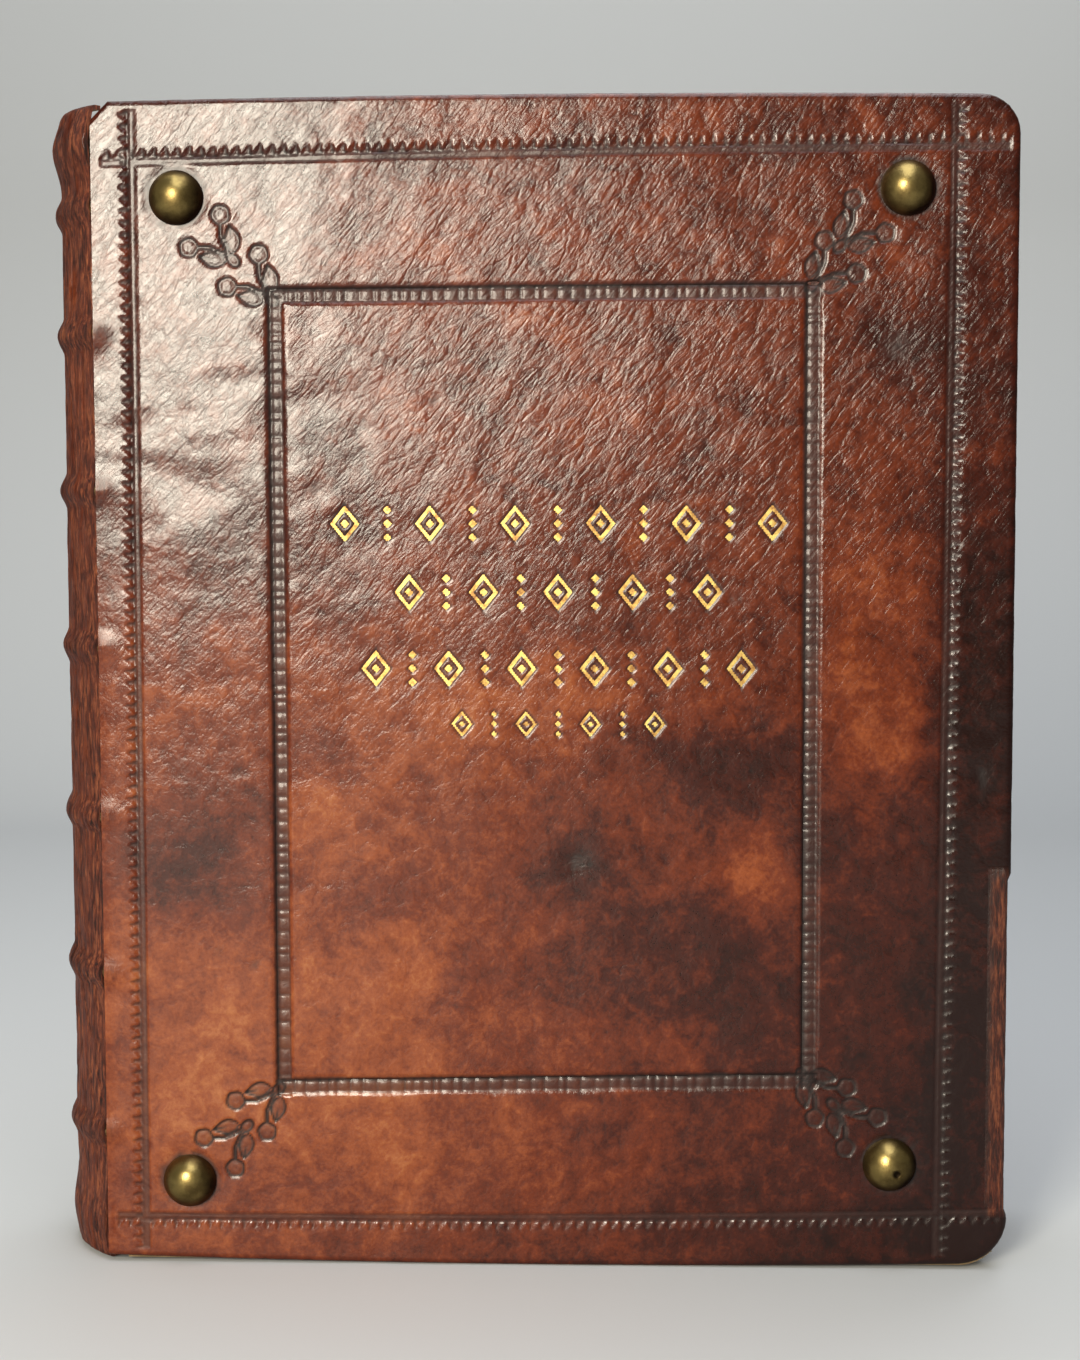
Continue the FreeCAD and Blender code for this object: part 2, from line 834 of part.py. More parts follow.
front = Cover("front", -1)
rear = Cover("rear", 1)
plain_leather = {}
for cover in (front, rear):
    parts += [make_board(cover), make_slips(cover), make_pastedown(cover)]
    plain_leather[cover.name] = make_leather(cover)
parts.append(plain_leather["rear"])
parts += [make_boss(name, x, z) for name, (x, z) in boss_places.items()]

gilt_bottom = float(size("gilt_depth"))
gilt_top = gilt_bottom - float(size("gilt_leaf"))
recesses = gilt_rows(float(size("gilt_fit")), -gilt_bottom, gilt_bottom)
tooling = blind_tooling(float(size("tool_depth"))) + recesses
pressed = placed_feature("pressed_tooling", Part.makeCompound(tooling))
plain_leather["front"].Label = "front_skin_before_tooling"
tooled = doc.addObject("Part::Cut", "front_tooled_leather")
tooled.Base = plain_leather["front"]
tooled.Tool = pressed
tooled.Label = "front_leather"
parts.append(tooled)
parts.append(placed_feature("gilt_tooling", Part.makeCompound(gilt_rows(0.0, gilt_top, gilt_bottom))))

doc.recompute()


# Checks and export

for thing in doc.Objects:
    if "Invalid" in thing.State or "Error" in thing.State:
        raise RuntimeError("%s failed: %s" % (thing.Name, thing.State))
    if thing.isDerivedFrom("PartDesign::Pocket") or thing.isDerivedFrom("PartDesign::Groove"):
        if thing.Shape.Volume >= thing.BaseFeature.Shape.Volume - 0.001:
            raise RuntimeError("%s cuts nothing" % thing.Name)
for part in parts:
    if part.Shape.isNull() or not part.Shape.isValid():
        raise RuntimeError("%s has no valid shape" % part.Label)

os.makedirs("parts", exist_ok=True)
for part in parts:
    part.Shape.exportStep("parts/%s.step" % part.Label)
    box = part.Shape.optimalBoundingBox(False, False)
    print("%-18s solids %3d volume %12.1f x %8.2f %8.2f y %7.2f %7.2f z %7.2f %7.2f" % (
        part.Label, len(part.Shape.Solids), part.Shape.Volume,
        box.XMin, box.XMax, box.YMin, box.YMax, box.ZMin, box.ZMax,
    ))
print("hinge x %.3f, outer planes y %.3f and %.3f" % (
    float(hinge_x), float(mid_y - outer_plane), float(mid_y + outer_plane)))
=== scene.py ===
import math

import bmesh
import bpy
import numpy as np
from mathutils import Matrix, Vector, noise


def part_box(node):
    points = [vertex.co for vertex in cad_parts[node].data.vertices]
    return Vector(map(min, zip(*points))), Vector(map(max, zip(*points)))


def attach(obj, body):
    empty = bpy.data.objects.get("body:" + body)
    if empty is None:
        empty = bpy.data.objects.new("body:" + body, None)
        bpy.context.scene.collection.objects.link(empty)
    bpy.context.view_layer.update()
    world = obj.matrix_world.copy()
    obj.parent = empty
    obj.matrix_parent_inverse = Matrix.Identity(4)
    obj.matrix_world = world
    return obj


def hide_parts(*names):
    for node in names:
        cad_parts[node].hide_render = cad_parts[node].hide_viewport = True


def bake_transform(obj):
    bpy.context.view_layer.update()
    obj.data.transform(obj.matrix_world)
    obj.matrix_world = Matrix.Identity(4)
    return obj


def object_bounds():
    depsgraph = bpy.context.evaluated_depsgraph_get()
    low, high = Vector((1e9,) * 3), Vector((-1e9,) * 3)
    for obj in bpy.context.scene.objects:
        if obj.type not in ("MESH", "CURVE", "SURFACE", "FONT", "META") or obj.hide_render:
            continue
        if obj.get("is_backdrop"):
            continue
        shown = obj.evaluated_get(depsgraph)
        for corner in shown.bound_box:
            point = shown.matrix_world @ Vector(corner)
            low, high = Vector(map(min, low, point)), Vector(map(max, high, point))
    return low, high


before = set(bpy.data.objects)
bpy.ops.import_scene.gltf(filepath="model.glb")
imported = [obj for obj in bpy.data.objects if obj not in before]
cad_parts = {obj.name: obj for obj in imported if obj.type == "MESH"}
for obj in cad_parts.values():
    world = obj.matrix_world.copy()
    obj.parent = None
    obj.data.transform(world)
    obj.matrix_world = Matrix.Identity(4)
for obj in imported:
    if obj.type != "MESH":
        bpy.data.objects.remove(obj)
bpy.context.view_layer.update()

# Text block
# About four hundred leaves of laid rag paper, folded in gatherings, sewn and glued, then rounded
# at the back with a backing hammer. The fore-edge has sunk into a hollow and the edges are brown.

MM = 0.001
ROUNDING = 15.0
JOINT_DEPTH = 1.6
LIP = 1.2
LEAF_CLEARANCE = 0.3
HOLLOW = 9.0
LEAF_GROUP = 0.6
BOW_STEPS = 60
BLOCK_ROWS = 9
BLOCK_COLUMNS = 18
EDGE_ROUGHNESS = 0.35


def box_mm(node):
    """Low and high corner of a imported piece, in millimetres."""
    low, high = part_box(node)
    return Vector(low) / MM, Vector(high) / MM


def linear(code):
    """Turns an sRGB hex colour into the linear values that a shader takes."""
    values = [int(code[place:place + 2], 16) / 255 for place in (1, 3, 5)]
    return [v / 12.92 if v <= 0.04045 else ((v + 0.055) / 1.055) ** 2.4 for v in values] + [1.0]


def new_material(name):
    """An empty material, named for a real material and its finish."""
    material = bpy.data.materials.new(name)
    material.use_nodes = True
    material.node_tree.nodes.clear()
    return material


def add(material, kind, settings={}, links={}):
    """Adds a node, sets its options, sockets or ramp stops, and links its sockets to other nodes."""
    node = material.node_tree.nodes.new("ShaderNode" + kind)
    for name, value in settings.items():
        if name == "stops":
            ramp = node.color_ramp.elements
            while len(ramp) < len(value):
                ramp.new(0.5)
            for stop, (place, colour) in zip(ramp, value):
                stop.position = place
                stop.color = linear(colour)
        elif isinstance(name, int) or name in node.inputs:
            node.inputs[name].default_value = value
        else:
            setattr(node, name, value)
    for name, source in links.items():
        output = source[0].outputs[source[1]] if isinstance(source, tuple) else source.outputs[0]
        material.node_tree.links.new(output, node.inputs[name])
    return node


def slices(low, high, step):
    """Places of the cuts between two ends, one step apart."""
    return [low + step * number for number in range(1, int((high - low) / step))]


def cut_across(bm, faces, axis, places):
    """Cuts faces along planes square to an axis, and returns what they have become."""
    normal = Vector([1.0 if axis == number else 0.0 for number in range(3)])
    geometry = dict.fromkeys(faces)
    for face in faces:
        geometry.update(dict.fromkeys(face.edges))
        geometry.update(dict.fromkeys(face.verts))
    geometry = list(geometry)
    for place in places:
        cut = bmesh.ops.bisect_plane(bm, geom=geometry, dist=1e-4,
                                     plane_co=normal * place, plane_no=normal)
        geometry = cut["geom"]
    return [item for item in geometry if isinstance(item, bmesh.types.BMFace)]


def verts_of(items):
    """The points among what an operator gives back."""
    return [item for item in items if isinstance(item, bmesh.types.BMVert)]


def bow_edge(bm, first, last, rise, cuts):
    """Bends the edge between two points into an arc, to the left of its way where rise is positive."""
    middle = (first + last) / 2
    chord = last - first
    half = chord.length / 2
    chord.normalize()
    left = Vector((-chord.y, chord.x, 0))
    radius = (half * half + rise * rise) / (2 * abs(rise))
    edge = min(bm.edges, key=lambda edge: ((edge.verts[0].co + edge.verts[1].co) / 2 - middle).length)
    made = bmesh.ops.subdivide_edges(bm, edges=[edge], cuts=cuts)
    for vert in verts_of(made["geom_inner"]):
        along = (vert.co - middle).dot(chord)
        lift = math.sqrt(radius * radius - along * along) - (radius - abs(rise))
        vert.co += left * math.copysign(lift, rise)


def make_piece(bm, name, material, crease=40):
    """Turns a mesh that was made in millimetres into a piece, smooth but for its sharp edges."""
    bmesh.ops.scale(bm, vec=(MM, MM, MM), verts=bm.verts)
    for face in bm.faces:
        face.smooth = True
        face.material_index = 0
    mesh = bpy.data.meshes.new(name)
    bm.to_mesh(mesh)
    bm.free()
    mesh.set_sharp_from_angle(angle=math.radians(crease))
    mesh.materials.append(material)
    piece = bpy.data.objects.new(name, mesh)
    bpy.context.scene.collection.objects.link(piece)
    return piece


def laid_paper(name, pale, middling, dark, stain):
    """Rag paper: matt, cream, cloudy with damp and dust. Its leaves show as lines along their edges,
    drawn about a millimetre apart, because single leaves are too fine to show. Every scale in these
    materials counts the repeats in a metre, so that 35 gives clouds of about 29 mm."""
    paper = new_material(name)
    place = (add(paper, "TexCoord"), "Object")
    stretched = add(paper, "Mapping", {"Scale": (7, 900, 7)}, {"Vector": place})
    leaves = add(paper, "TexNoise", {"Scale": 1.0, "Detail": 5.0, "Roughness": 0.7},
                 {"Vector": stretched})
    clouds = add(paper, "TexNoise", {"Scale": 35.0, "Detail": 6.0, "Roughness": 0.6},
                 {"Vector": place})
    tint = add(paper, "Math", {"operation": "MULTIPLY_ADD", 1: 0.45}, {0: clouds, 2: leaves})
    colour = add(paper, "ValToRGB", {"stops": [(0.45, dark), (0.66, middling), (0.85, pale)]}, {0: tint})
    spots = add(paper, "TexNoise", {"Scale": 240.0, "Detail": 3.0, "Roughness": 0.5},
                {"Vector": place})
    foxing = add(paper, "MapRange", {"From Min": 0.66, "From Max": 0.78, "To Max": 0.5},
                 {"Value": spots})
    mixed = add(paper, "Mix", {"data_type": "RGBA", 7: linear(stain)}, {0: foxing, 6: colour})
    bump = add(paper, "Bump", {"Strength": 0.7, "Distance": 0.0002}, {"Height": leaves})
    shader = add(paper, "BsdfPrincipled", {"Roughness": 0.88, "Specular IOR Level": 0.25},
                 {"Base Color": (mixed, 2), "Normal": bump})
    add(paper, "OutputMaterial", {}, {"Surface": shader})
    return paper


front_face = box_mm("front_leather")[0].y
rear_face = box_mm("rear_leather")[1].y
middle_y = (front_face + rear_face) / 2
spine_high = box_mm("spine_leather")[1]
block_low, block_high = box_mm("text_block")
half_chord = (rear_face - front_face) / 2 - JOINT_DEPTH
spine_radius = (half_chord * half_chord + ROUNDING * ROUNDING) / (2 * ROUNDING)
axis_x = spine_high.x + spine_radius - ROUNDING
back_radius = axis_x - block_low.x
leaf_front = box_mm("front_pastedown")[1].y + LEAF_CLEARANCE
leaf_rear = box_mm("rear_pastedown")[0].y - LEAF_CLEARANCE

# The section of the block, seen from the head: square leaves, a hollow fore-edge, and shoulders that
# stand out beside the rounded back. It is drawn up to the head and cut fine for the leaf edges.
leaves = bmesh.new()
outline = [
    (spine_high.x, leaf_front), (block_high.x, leaf_front), (block_high.x, leaf_rear),
    (spine_high.x, leaf_rear), (spine_high.x, block_high.y), (spine_high.x - LIP, block_high.y),
    (spine_high.x - LIP, block_low.y), (spine_high.x, block_low.y),
]
corners = [leaves.verts.new((x, y, block_low.z)) for x, y in outline]
for number, corner in enumerate(corners):
    leaves.edges.new((corner, corners[(number + 1) % len(corners)]))
points = [corner.co.copy() for corner in corners]
bow_edge(leaves, points[1], points[2], HOLLOW, BOW_STEPS)
bow_edge(leaves, points[5], points[6], -(spine_high.x - LIP - block_low.x), BOW_STEPS)
bmesh.ops.contextual_create(leaves, geom=leaves.edges[:])
pulled = bmesh.ops.extrude_face_region(leaves, geom=leaves.faces[:])["geom"]
bmesh.ops.translate(leaves, verts=verts_of(pulled), vec=(0, 0, block_high.z - block_low.z))
cut_across(leaves, leaves.faces[:], 1, slices(block_low.y, block_high.y, LEAF_GROUP))
cut_across(leaves, leaves.faces[:], 2, slices(block_low.z, block_high.z, BLOCK_ROWS))
cut_across(leaves, leaves.faces[:], 0, slices(block_low.x, block_high.x, BLOCK_COLUMNS))
bmesh.ops.recalc_face_normals(leaves, faces=leaves.faces)
for vert in leaves.verts:
    x, y, z = vert.co
    ragged = noise.noise((0.3, y / 0.9, z / 60)) + 0.8 * noise.noise((x / 90, y / 4.5, z / 90 + 7))
    if x > block_high.x - HOLLOW - 1:
        vert.co.x -= EDGE_ROUGHNESS * (1 + ragged)
    if z > block_high.z - 0.01:
        vert.co.z -= EDGE_ROUGHNESS * (1 + ragged) * 0.6
    if z < block_low.z + 0.01:
        vert.co.z += EDGE_ROUGHNESS * (1 + ragged) * 0.6
block = make_piece(leaves, "leaves",
                   laid_paper("laid_rag_paper", "#e0d2b0", "#c6b088", "#8a6c47", "#8d6a3c"))
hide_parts("text_block")
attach(block, "book")

# Sewing cords, linings and endbands
# Seven hemp cords cross the back, with strips of waste paper glued down between them. The endbands
# are a thin core wound with waxed linen thread, one turn beside the other.

THREAD = 1.0
THREAD_STEPS = 6
THREAD_VALLEY = 0.16
THREAD_SLANT = 0.4
ENDBAND_FIT = 0.05


def fibre(name, pale, dark, strand, roughness=0.9):
    """Bast fibre or pulp: matt, with fine pale and dark strands of about the given length in mm."""
    material = new_material(name)
    place = (add(material, "TexCoord"), "Object")
    strands = add(material, "TexNoise", {"Scale": 1000 / strand, "Detail": 5.0, "Distortion": 1.2},
                  {"Vector": place})
    colour = add(material, "ValToRGB", {"stops": [(0.32, dark), (0.68, pale)]}, {0: strands})
    bump = add(material, "Bump", {"Strength": 0.8, "Distance": 0.0003}, {"Height": strands})
    shader = add(material, "BsdfPrincipled", {"Roughness": roughness, "Specular IOR Level": 0.2},
                 {"Base Color": colour, "Normal": bump})
    add(material, "OutputMaterial", {}, {"Surface": shader})
    return material


def clothe(nodes, material):
    """Gives pieces that keep their own shape a finish."""
    for name in nodes:
        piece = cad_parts[name]
        piece.data.materials.clear()
        piece.data.materials.append(material)


cord_names = ["sewing_cord_%d" % number for number in range(1, 8)]
hemp = fibre("tarred_hemp_cord", "#8d7450", "#4b3722", 1.2)
clothe(cord_names, hemp)
clothe(["spine_linings"], fibre("waste_paper", "#c4b48f", "#8e7a55", 4.0))
linen = fibre("waxed_linen_thread", "#c9b88e", "#7c6440", 0.6, 0.75)

# Each endband is a round core, swept along the back, with its thread as ridges round it.
for node in ("headband", "tailband"):
    low, high = box_mm(node)
    core = (high.z - low.z) / 2
    ring = back_radius - core - ENDBAND_FIT
    sweep = math.asin((high.y - low.y) / 2 / ring)
    centre = Vector((axis_x, middle_y, 0))
    band = bmesh.new()
    upright = Matrix.Translation((axis_x - ring, middle_y, (low.z + high.z) / 2))
    bmesh.ops.create_circle(band, cap_ends=True, segments=10, radius=core,
                            matrix=upright @ Matrix.Rotation(math.pi / 2, 4, "X"))
    bmesh.ops.rotate(band, verts=band.verts, cent=centre, matrix=Matrix.Rotation(sweep, 3, "Z"))
    turns = int(2 * sweep * ring / THREAD)
    bmesh.ops.spin(band, geom=band.verts[:] + band.edges[:] + band.faces[:], cent=centre,
                   axis=(0, 0, 1), angle=-2 * sweep, steps=turns * THREAD_STEPS, use_merge=False)
    bmesh.ops.recalc_face_normals(band, faces=band.faces)
    for vert in band.verts:
        from_axis = vert.co - centre
        angle = math.atan2(from_axis.y, -from_axis.x)
        heart = centre + Vector((-math.cos(angle) * ring, math.sin(angle) * ring, (low.z + high.z) / 2))
        out = vert.co - heart
        around = math.atan2(out.z, Vector((out.x, out.y)).length)
        crown = abs(math.sin(math.pi * angle * ring / THREAD + around * THREAD_SLANT))
        vert.co = heart + out * (1 - THREAD_VALLEY + THREAD_VALLEY * crown)
    piece = make_piece(band, node + "_thread", linen, 80)
    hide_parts(node)
    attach(piece, "book")

# Boards and slips
# Each board is pasteboard, made of sheets of waste paper pasted together. The ends of the cords are
# frayed out, laid in channels in the board and laced down through a hole.

# Matt and grey-brown, with the pasted sheets as fine lines along its edges.
pasteboard = new_material("pasteboard")
place = (add(pasteboard, "TexCoord"), "Object")
layered = add(pasteboard, "Mapping", {"Scale": (60, 1400, 60)}, {"Vector": place})
layers = add(pasteboard, "TexNoise", {"Scale": 1.0, "Detail": 6.0, "Roughness": 0.7},
             {"Vector": layered})
colour = add(pasteboard, "ValToRGB", {"stops": [(0.3, "#5d4c37"), (0.55, "#8c785a"), (0.75, "#ab9876")]},
             {0: layers})
bump = add(pasteboard, "Bump", {"Strength": 0.8, "Distance": 0.0003}, {"Height": layers})
shader = add(pasteboard, "BsdfPrincipled", {"Roughness": 0.92, "Specular IOR Level": 0.2},
             {"Base Color": colour, "Normal": bump})
add(pasteboard, "OutputMaterial", {}, {"Surface": shader})
clothe(["front_board", "rear_board"], pasteboard)
clothe(["front_slips", "rear_slips"], hemp)

# Spine leather
# One strip of calf, pasted on wet and worked down round the cords with band nippers, so that they
# stand up as seven bands. It is turned in over the endbands as caps, and has dried and cracked.

BAND_HALF = 5.5
BAND_PROUD = 1.95
SWELL_LENGTH = 24.0
SWELL_PEAK = 11.0
HEAD_SWELL = 2.5
TAIL_SWELL = 1.5
SKIN = 1.3
CAP_ROUND = 2.2
CAP_REACH = 2.3
CAP_TIP = 0.15
SPINE_ROWS = 290
SPINE_COLUMNS = 112
JOINT_LEVEL = 0.25
FIBRE_RELIEF = 0.28
CRACK_DEPTH = 0.5


def ease(value, low, high):
    """Goes smoothly from 0 to 1 as a value goes from low to high."""
    share = np.clip((value - low) / (high - low), 0, 1)
    return share * share * (3 - 2 * share)


def lumps(a, b, size, seed, stretch=1.0):
    """Smooth noise from -1 to 1 in lumps of about this size in mm, longer along b by the stretch."""
    return np.array([noise.noise((p / size, seed, q / (size * stretch))) for p, q in zip(a, b)])


def give(mesh, name, values):
    """Stores a number for each point of a mesh, which the leather's colours are mixed by."""
    mesh.attributes.new(name, "FLOAT", "POINT").data.foreach_set("value", np.float32(values))


band_places = [sum(box_mm(name)[end].z for end in (0, 1)) / 2 for name in cord_names]
spine_low = box_mm("spine_leather")[0]


def spine_swell(z):
    """How far the back stands out at a height: over the bands, and over the endbands at both ends."""
    out = np.zeros_like(z)
    for place in band_places:
        share = np.clip(np.abs(z - place) / BAND_HALF, 0, 1)
        out = np.maximum(out, BAND_PROUD * np.cos(share * math.pi / 2) ** 1.5)
    for end, way, peak in ((spine_high.z, 1, HEAD_SWELL), (spine_low.z, -1, TAIL_SWELL)):
        inwards = (end - z) * way
        rise = ease(inwards, 0, SWELL_PEAK) * (1 - ease(inwards, SWELL_PEAK, SWELL_LENGTH))
        out = np.maximum(out, peak * rise)
    return out


def aged_calf(name):
    """Vegetable-tanned calf, sprinkled and polished, then rubbed with wax for years: red-brown with
    tan and near-black clouds, a low sheen, pores, creases and slanting wrinkles. Clouds come every
    22 mm, mottling every 4 mm, and pores and specks every millimetre, which is coarser than real ones.
    The points of the mesh say where it is light, pressed, darkened by the tools and by painted shade, or
    worn to the flesh."""
    calf = new_material(name)
    place = (add(calf, "TexCoord"), "Object")
    tone = add(calf, "Attribute", {"attribute_name": "tone"})
    clouds = add(calf, "TexNoise", {"Scale": 45.0, "Detail": 6.0, "Roughness": 0.65, "Distortion": 0.8},
                 {"Vector": place})
    mottle = add(calf, "TexNoise", {"Scale": 230.0, "Detail": 5.0, "Roughness": 0.62, "Distortion": 0.4},
                 {"Vector": place})
    specks = add(calf, "TexNoise", {"Scale": 900.0, "Detail": 3.0, "Roughness": 0.6},
                 {"Vector": place})
    slanted = add(calf, "VectorRotate", {"rotation_type": "Y_AXIS", "Angle": math.radians(48)},
                  {"Vector": place})
    drawn = add(calf, "Mapping", {"Scale": (150, 150, 560)}, {"Vector": slanted})
    wrinkle = add(calf, "TexNoise", {"Scale": 1.0, "Detail": 4.0, "Roughness": 0.55, "Distortion": 0.9},
                  {"Vector": drawn})
    wide = add(calf, "Mapping", {"Scale": (100, 100, 290)}, {"Vector": slanted})
    bent = add(calf, "VectorMath", {"operation": "MULTIPLY_ADD", 1: (0.35, 0.35, 0.35)},
               {0: (mottle, "Color"), 2: wide})
    cells = add(calf, "TexVoronoi", {"feature": "DISTANCE_TO_EDGE", "Scale": 1.0}, {"Vector": bent})
    crackle = add(calf, "MapRange", {"From Max": 0.12, "To Min": 1.0, "To Max": 0.0},
                  {"Value": (cells, "Distance")})
    # Its ground colour: clouds, mottling and specks, shifted by how light each spot is.
    first = add(calf, "Math", {"operation": "MULTIPLY_ADD", 1: 0.55}, {0: clouds, 2: (tone, "Fac")})
    second = add(calf, "Math", {"operation": "MULTIPLY_ADD", 1: 0.42}, {0: mottle, 2: first})
    third = add(calf, "Math", {"operation": "MULTIPLY_ADD", 1: 0.22}, {0: specks, 2: second})
    shade = add(calf, "Math", {"operation": "MULTIPLY_ADD", 1: 0.10}, {0: wrinkle, 2: third})
    ground = add(calf, "ValToRGB", {"stops": [
        (0.30, "#210b05"), (0.50, "#46190c"), (0.68, "#743116"), (0.84, "#9c4f27"), (1.0, "#bb7342"),
    ]}, {0: shade})
    # Warm tools darkened what they pressed. The edges of each mark are painted nearly black, partly as
    # the burn of the tools and partly as painted shade in their steep walls.
    pressed = add(calf, "Attribute", {"attribute_name": "press"})
    tooled = add(calf, "Mix", {"data_type": "RGBA", 7: linear("#38231f")},
                 {0: (pressed, "Fac"), 6: ground})
    lined = add(calf, "Attribute", {"attribute_name": "line"})
    burnt_and_painted_shade = add(calf, "Mix", {"data_type": "RGBA", 7: linear("#150806")},
                {0: (lined, "Fac"), 6: (tooled, 2)})
    # Worn through, it shows the flesh side: torn, matt, reddish strands that run up the book.
    along = add(calf, "Mapping", {"Scale": (1000, 1000, 150)}, {"Vector": place})
    strands = add(calf, "TexNoise", {"Scale": 1.0, "Detail": 6.0, "Roughness": 0.75}, {"Vector": along})
    flesh = add(calf, "ValToRGB", {"stops": [(0.38, "#200c07"), (0.50, "#6c2d1a"), (0.62, "#b2653f")]},
                {0: strands})
    worn = add(calf, "Attribute", {"attribute_name": "worn"})
    mixed = add(calf, "Mix", {"data_type": "RGBA"}, {0: (worn, "Fac"), 6: (burnt_and_painted_shade, 2), 7: flesh})
    # The upper half has dried: its grain is split into a net of slanting wrinkles.
    height = add(calf, "SeparateXYZ", {}, {0: place})
    upper = add(calf, "MapRange", {"From Min": 0.13, "From Max": 0.29, "To Min": 0.08},
                {"Value": (height, "Z")})
    split = add(calf, "Math", {"operation": "MULTIPLY"}, {0: crackle, 1: upper})
    veined = add(calf, "Math", {"operation": "MULTIPLY", 1: 0.20}, {0: split})
    skin_colour = add(calf, "Mix", {"data_type": "RGBA", 7: linear("#2e140b")},
                      {0: veined, 6: (mixed, 2)})
    # Polish lies on the sound grain, and less of it in the tooled and worn places.
    matt = add(calf, "Math", {"operation": "MULTIPLY_ADD", 1: 0.45, 2: 0.15}, {0: (worn, "Fac")})
    dulled = add(calf, "Math", {"operation": "MULTIPLY_ADD", 1: 0.22}, {0: (pressed, "Fac"), 2: matt})
    sooty = add(calf, "Math", {"operation": "MULTIPLY_ADD", 1: 0.35}, {0: (lined, "Fac"), 2: dulled})
    gloss = add(calf, "Math", {"operation": "MULTIPLY_ADD", 1: 0.16}, {0: mottle, 2: sooty})
    # The fine relief, from the net and the wrinkles down to the pores.
    pores = add(calf, "TexVoronoi", {"Scale": 900.0}, {"Vector": place})
    wrinkled = add(calf, "Math", {"operation": "MULTIPLY", 1: 0.30}, {0: wrinkle})
    relief = add(calf, "Math", {"operation": "MULTIPLY_ADD", 1: -0.05}, {0: crackle, 2: wrinkled})
    relief = add(calf, "Math", {"operation": "MULTIPLY"}, {0: relief, 1: upper})
    relief = add(calf, "Math", {"operation": "MULTIPLY_ADD", 1: 0.022}, {0: pores, 2: relief})
    relief = add(calf, "Math", {"operation": "MULTIPLY_ADD", 1: 0.22}, {0: mottle, 2: relief})
    frayed = add(calf, "Math", {"operation": "MULTIPLY"}, {0: strands, 1: (worn, "Fac")})
    relief = add(calf, "Math", {"operation": "MULTIPLY_ADD", 1: 1.5}, {0: frayed, 2: relief})
    bump = add(calf, "Bump", {"Strength": 1.0, "Distance": 0.001}, {"Height": relief})
    shader = add(calf, "BsdfPrincipled", {
        "IOR": 1.5, "Coat Weight": 0.28, "Coat Roughness": 0.12,
    }, {"Base Color": (skin_colour, 2), "Roughness": gloss, "Normal": bump})
    add(calf, "OutputMaterial", {}, {"Surface": shader})
    return calf


calf = aged_calf("polished_calf")

# A strip as long as the back, bent in over the endbands at both ends, and swept round the back.
skin = bmesh.new()
cap_x = axis_x - back_radius + CAP_REACH
back_x = axis_x - spine_radius
turned = [
    skin.verts.new((cap_x, middle_y, spine_low.z + CAP_TIP)),
    skin.verts.new((back_x, middle_y, spine_low.z)),
    skin.verts.new((back_x, middle_y, spine_high.z)),
    skin.verts.new((cap_x, middle_y, spine_high.z - CAP_TIP)),
]
for first, last in zip(turned, turned[1:]):
    skin.edges.new((first, last))
bmesh.ops.bevel(skin, geom=turned[1:3], offset=CAP_ROUND, offset_type="OFFSET", segments=4,
                affect="VERTICES", profile=0.5, material=-1)
back_edge = max(skin.edges, key=lambda edge: edge.calc_length())
bmesh.ops.subdivide_edges(skin, edges=[back_edge], cuts=SPINE_ROWS)
half_sweep = math.acos((spine_radius - ROUNDING) / spine_radius)
axis = Vector((axis_x, middle_y, 0))
bmesh.ops.rotate(skin, verts=skin.verts, cent=axis, matrix=Matrix.Rotation(half_sweep, 3, "Z"))
bmesh.ops.spin(skin, geom=skin.verts[:] + skin.edges[:], cent=axis, axis=(0, 0, 1),
               angle=-2 * half_sweep, steps=SPINE_COLUMNS, use_merge=False)
bmesh.ops.recalc_face_normals(skin, faces=skin.faces)
# Worked down round the cords, cracked lengthwise and lifted into fibres by age.
spots = np.array([vert.co for vert in skin.verts])
reach = np.hypot(spots[:, 0] - axis_x, spots[:, 1] - middle_y)
around = np.arctan2(spots[:, 1] - middle_y, axis_x - spots[:, 0]) * spine_radius
height = spots[:, 2]
on_back = ease(reach, spine_radius - CAP_ROUND, spine_radius - 0.1)
streaks = lumps(around, height, 1.4, 3.3, 7.0) + 0.7 * lumps(around, height, 4.0, 8.1, 3.0)
cracks = ease(np.abs(lumps(around, height, 2.6, 5.7, 7.0)), 0.0, 0.16) - 1
out = spine_swell(height) + FIBRE_RELIEF * streaks + CRACK_DEPTH * cracks
for vert, grow, share, distance in zip(skin.verts, out, on_back, reach):
    vert.co.x = axis_x + (vert.co.x - axis_x) * (distance + grow * share) / distance
    vert.co.y = middle_y + (vert.co.y - middle_y) * (distance + grow * share) / distance
    vert.co.y = min(max(vert.co.y, front_face + JOINT_LEVEL), rear_face - JOINT_LEVEL)
bmesh.ops.solidify(skin, geom=skin.faces[:], thickness=SKIN)
tone_back = 0.10 * lumps(around, height, 30, 1.0) + 0.08 * lumps(around, height, 9, 2.0, 2.0)
tone_back -= 0.10 * ease(spine_swell(height), 0.2, 1.5)
rubbed = 0.55 + 0.55 * lumps(around, height, 3.2, 6.0, 5.0) + 0.25 * (np.abs(around) > 30)
count = len(skin.verts)
spine = make_piece(skin, "back_leather", calf, 60)
give(spine.data, "tone", np.resize(tone_back, count))
give(spine.data, "worn", np.clip(np.resize(rubbed, count), 0, 1))
give(spine.data, "line", np.clip(-np.resize(cracks, count) * 0.8, 0, 1))
give(spine.data, "press", np.zeros(count))
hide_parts("spine_leather")
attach(spine, "book")

# Front cover leather
# Calf pared thin at its edges, pasted over the board and turned in round three sides. At the joint
# it ran on over the spine, where it has now torn. Warm brass tools pressed the lines into it.

LEATHER = 1.2
BOARD_INSIDE = 6.2
EDGE_ROUND = 1.8
HEAD_CORNER = 11.5
TAIL_CORNER = 14.5
BACK_CORNER = 5.0
TURN_IN = 18.0
CELL = 2.2
EDGE_CUTS = (2.6, 4.2, 5.6)
JOINT_WIDTH = 3.3
JOINT_STEPS = 4
JOINT_SKIN = 0.8
HEAD_BOW = 1.2
TAIL_LIFT = 1.8
BOW_LENGTH = 45
LIFT_LENGTH = 40

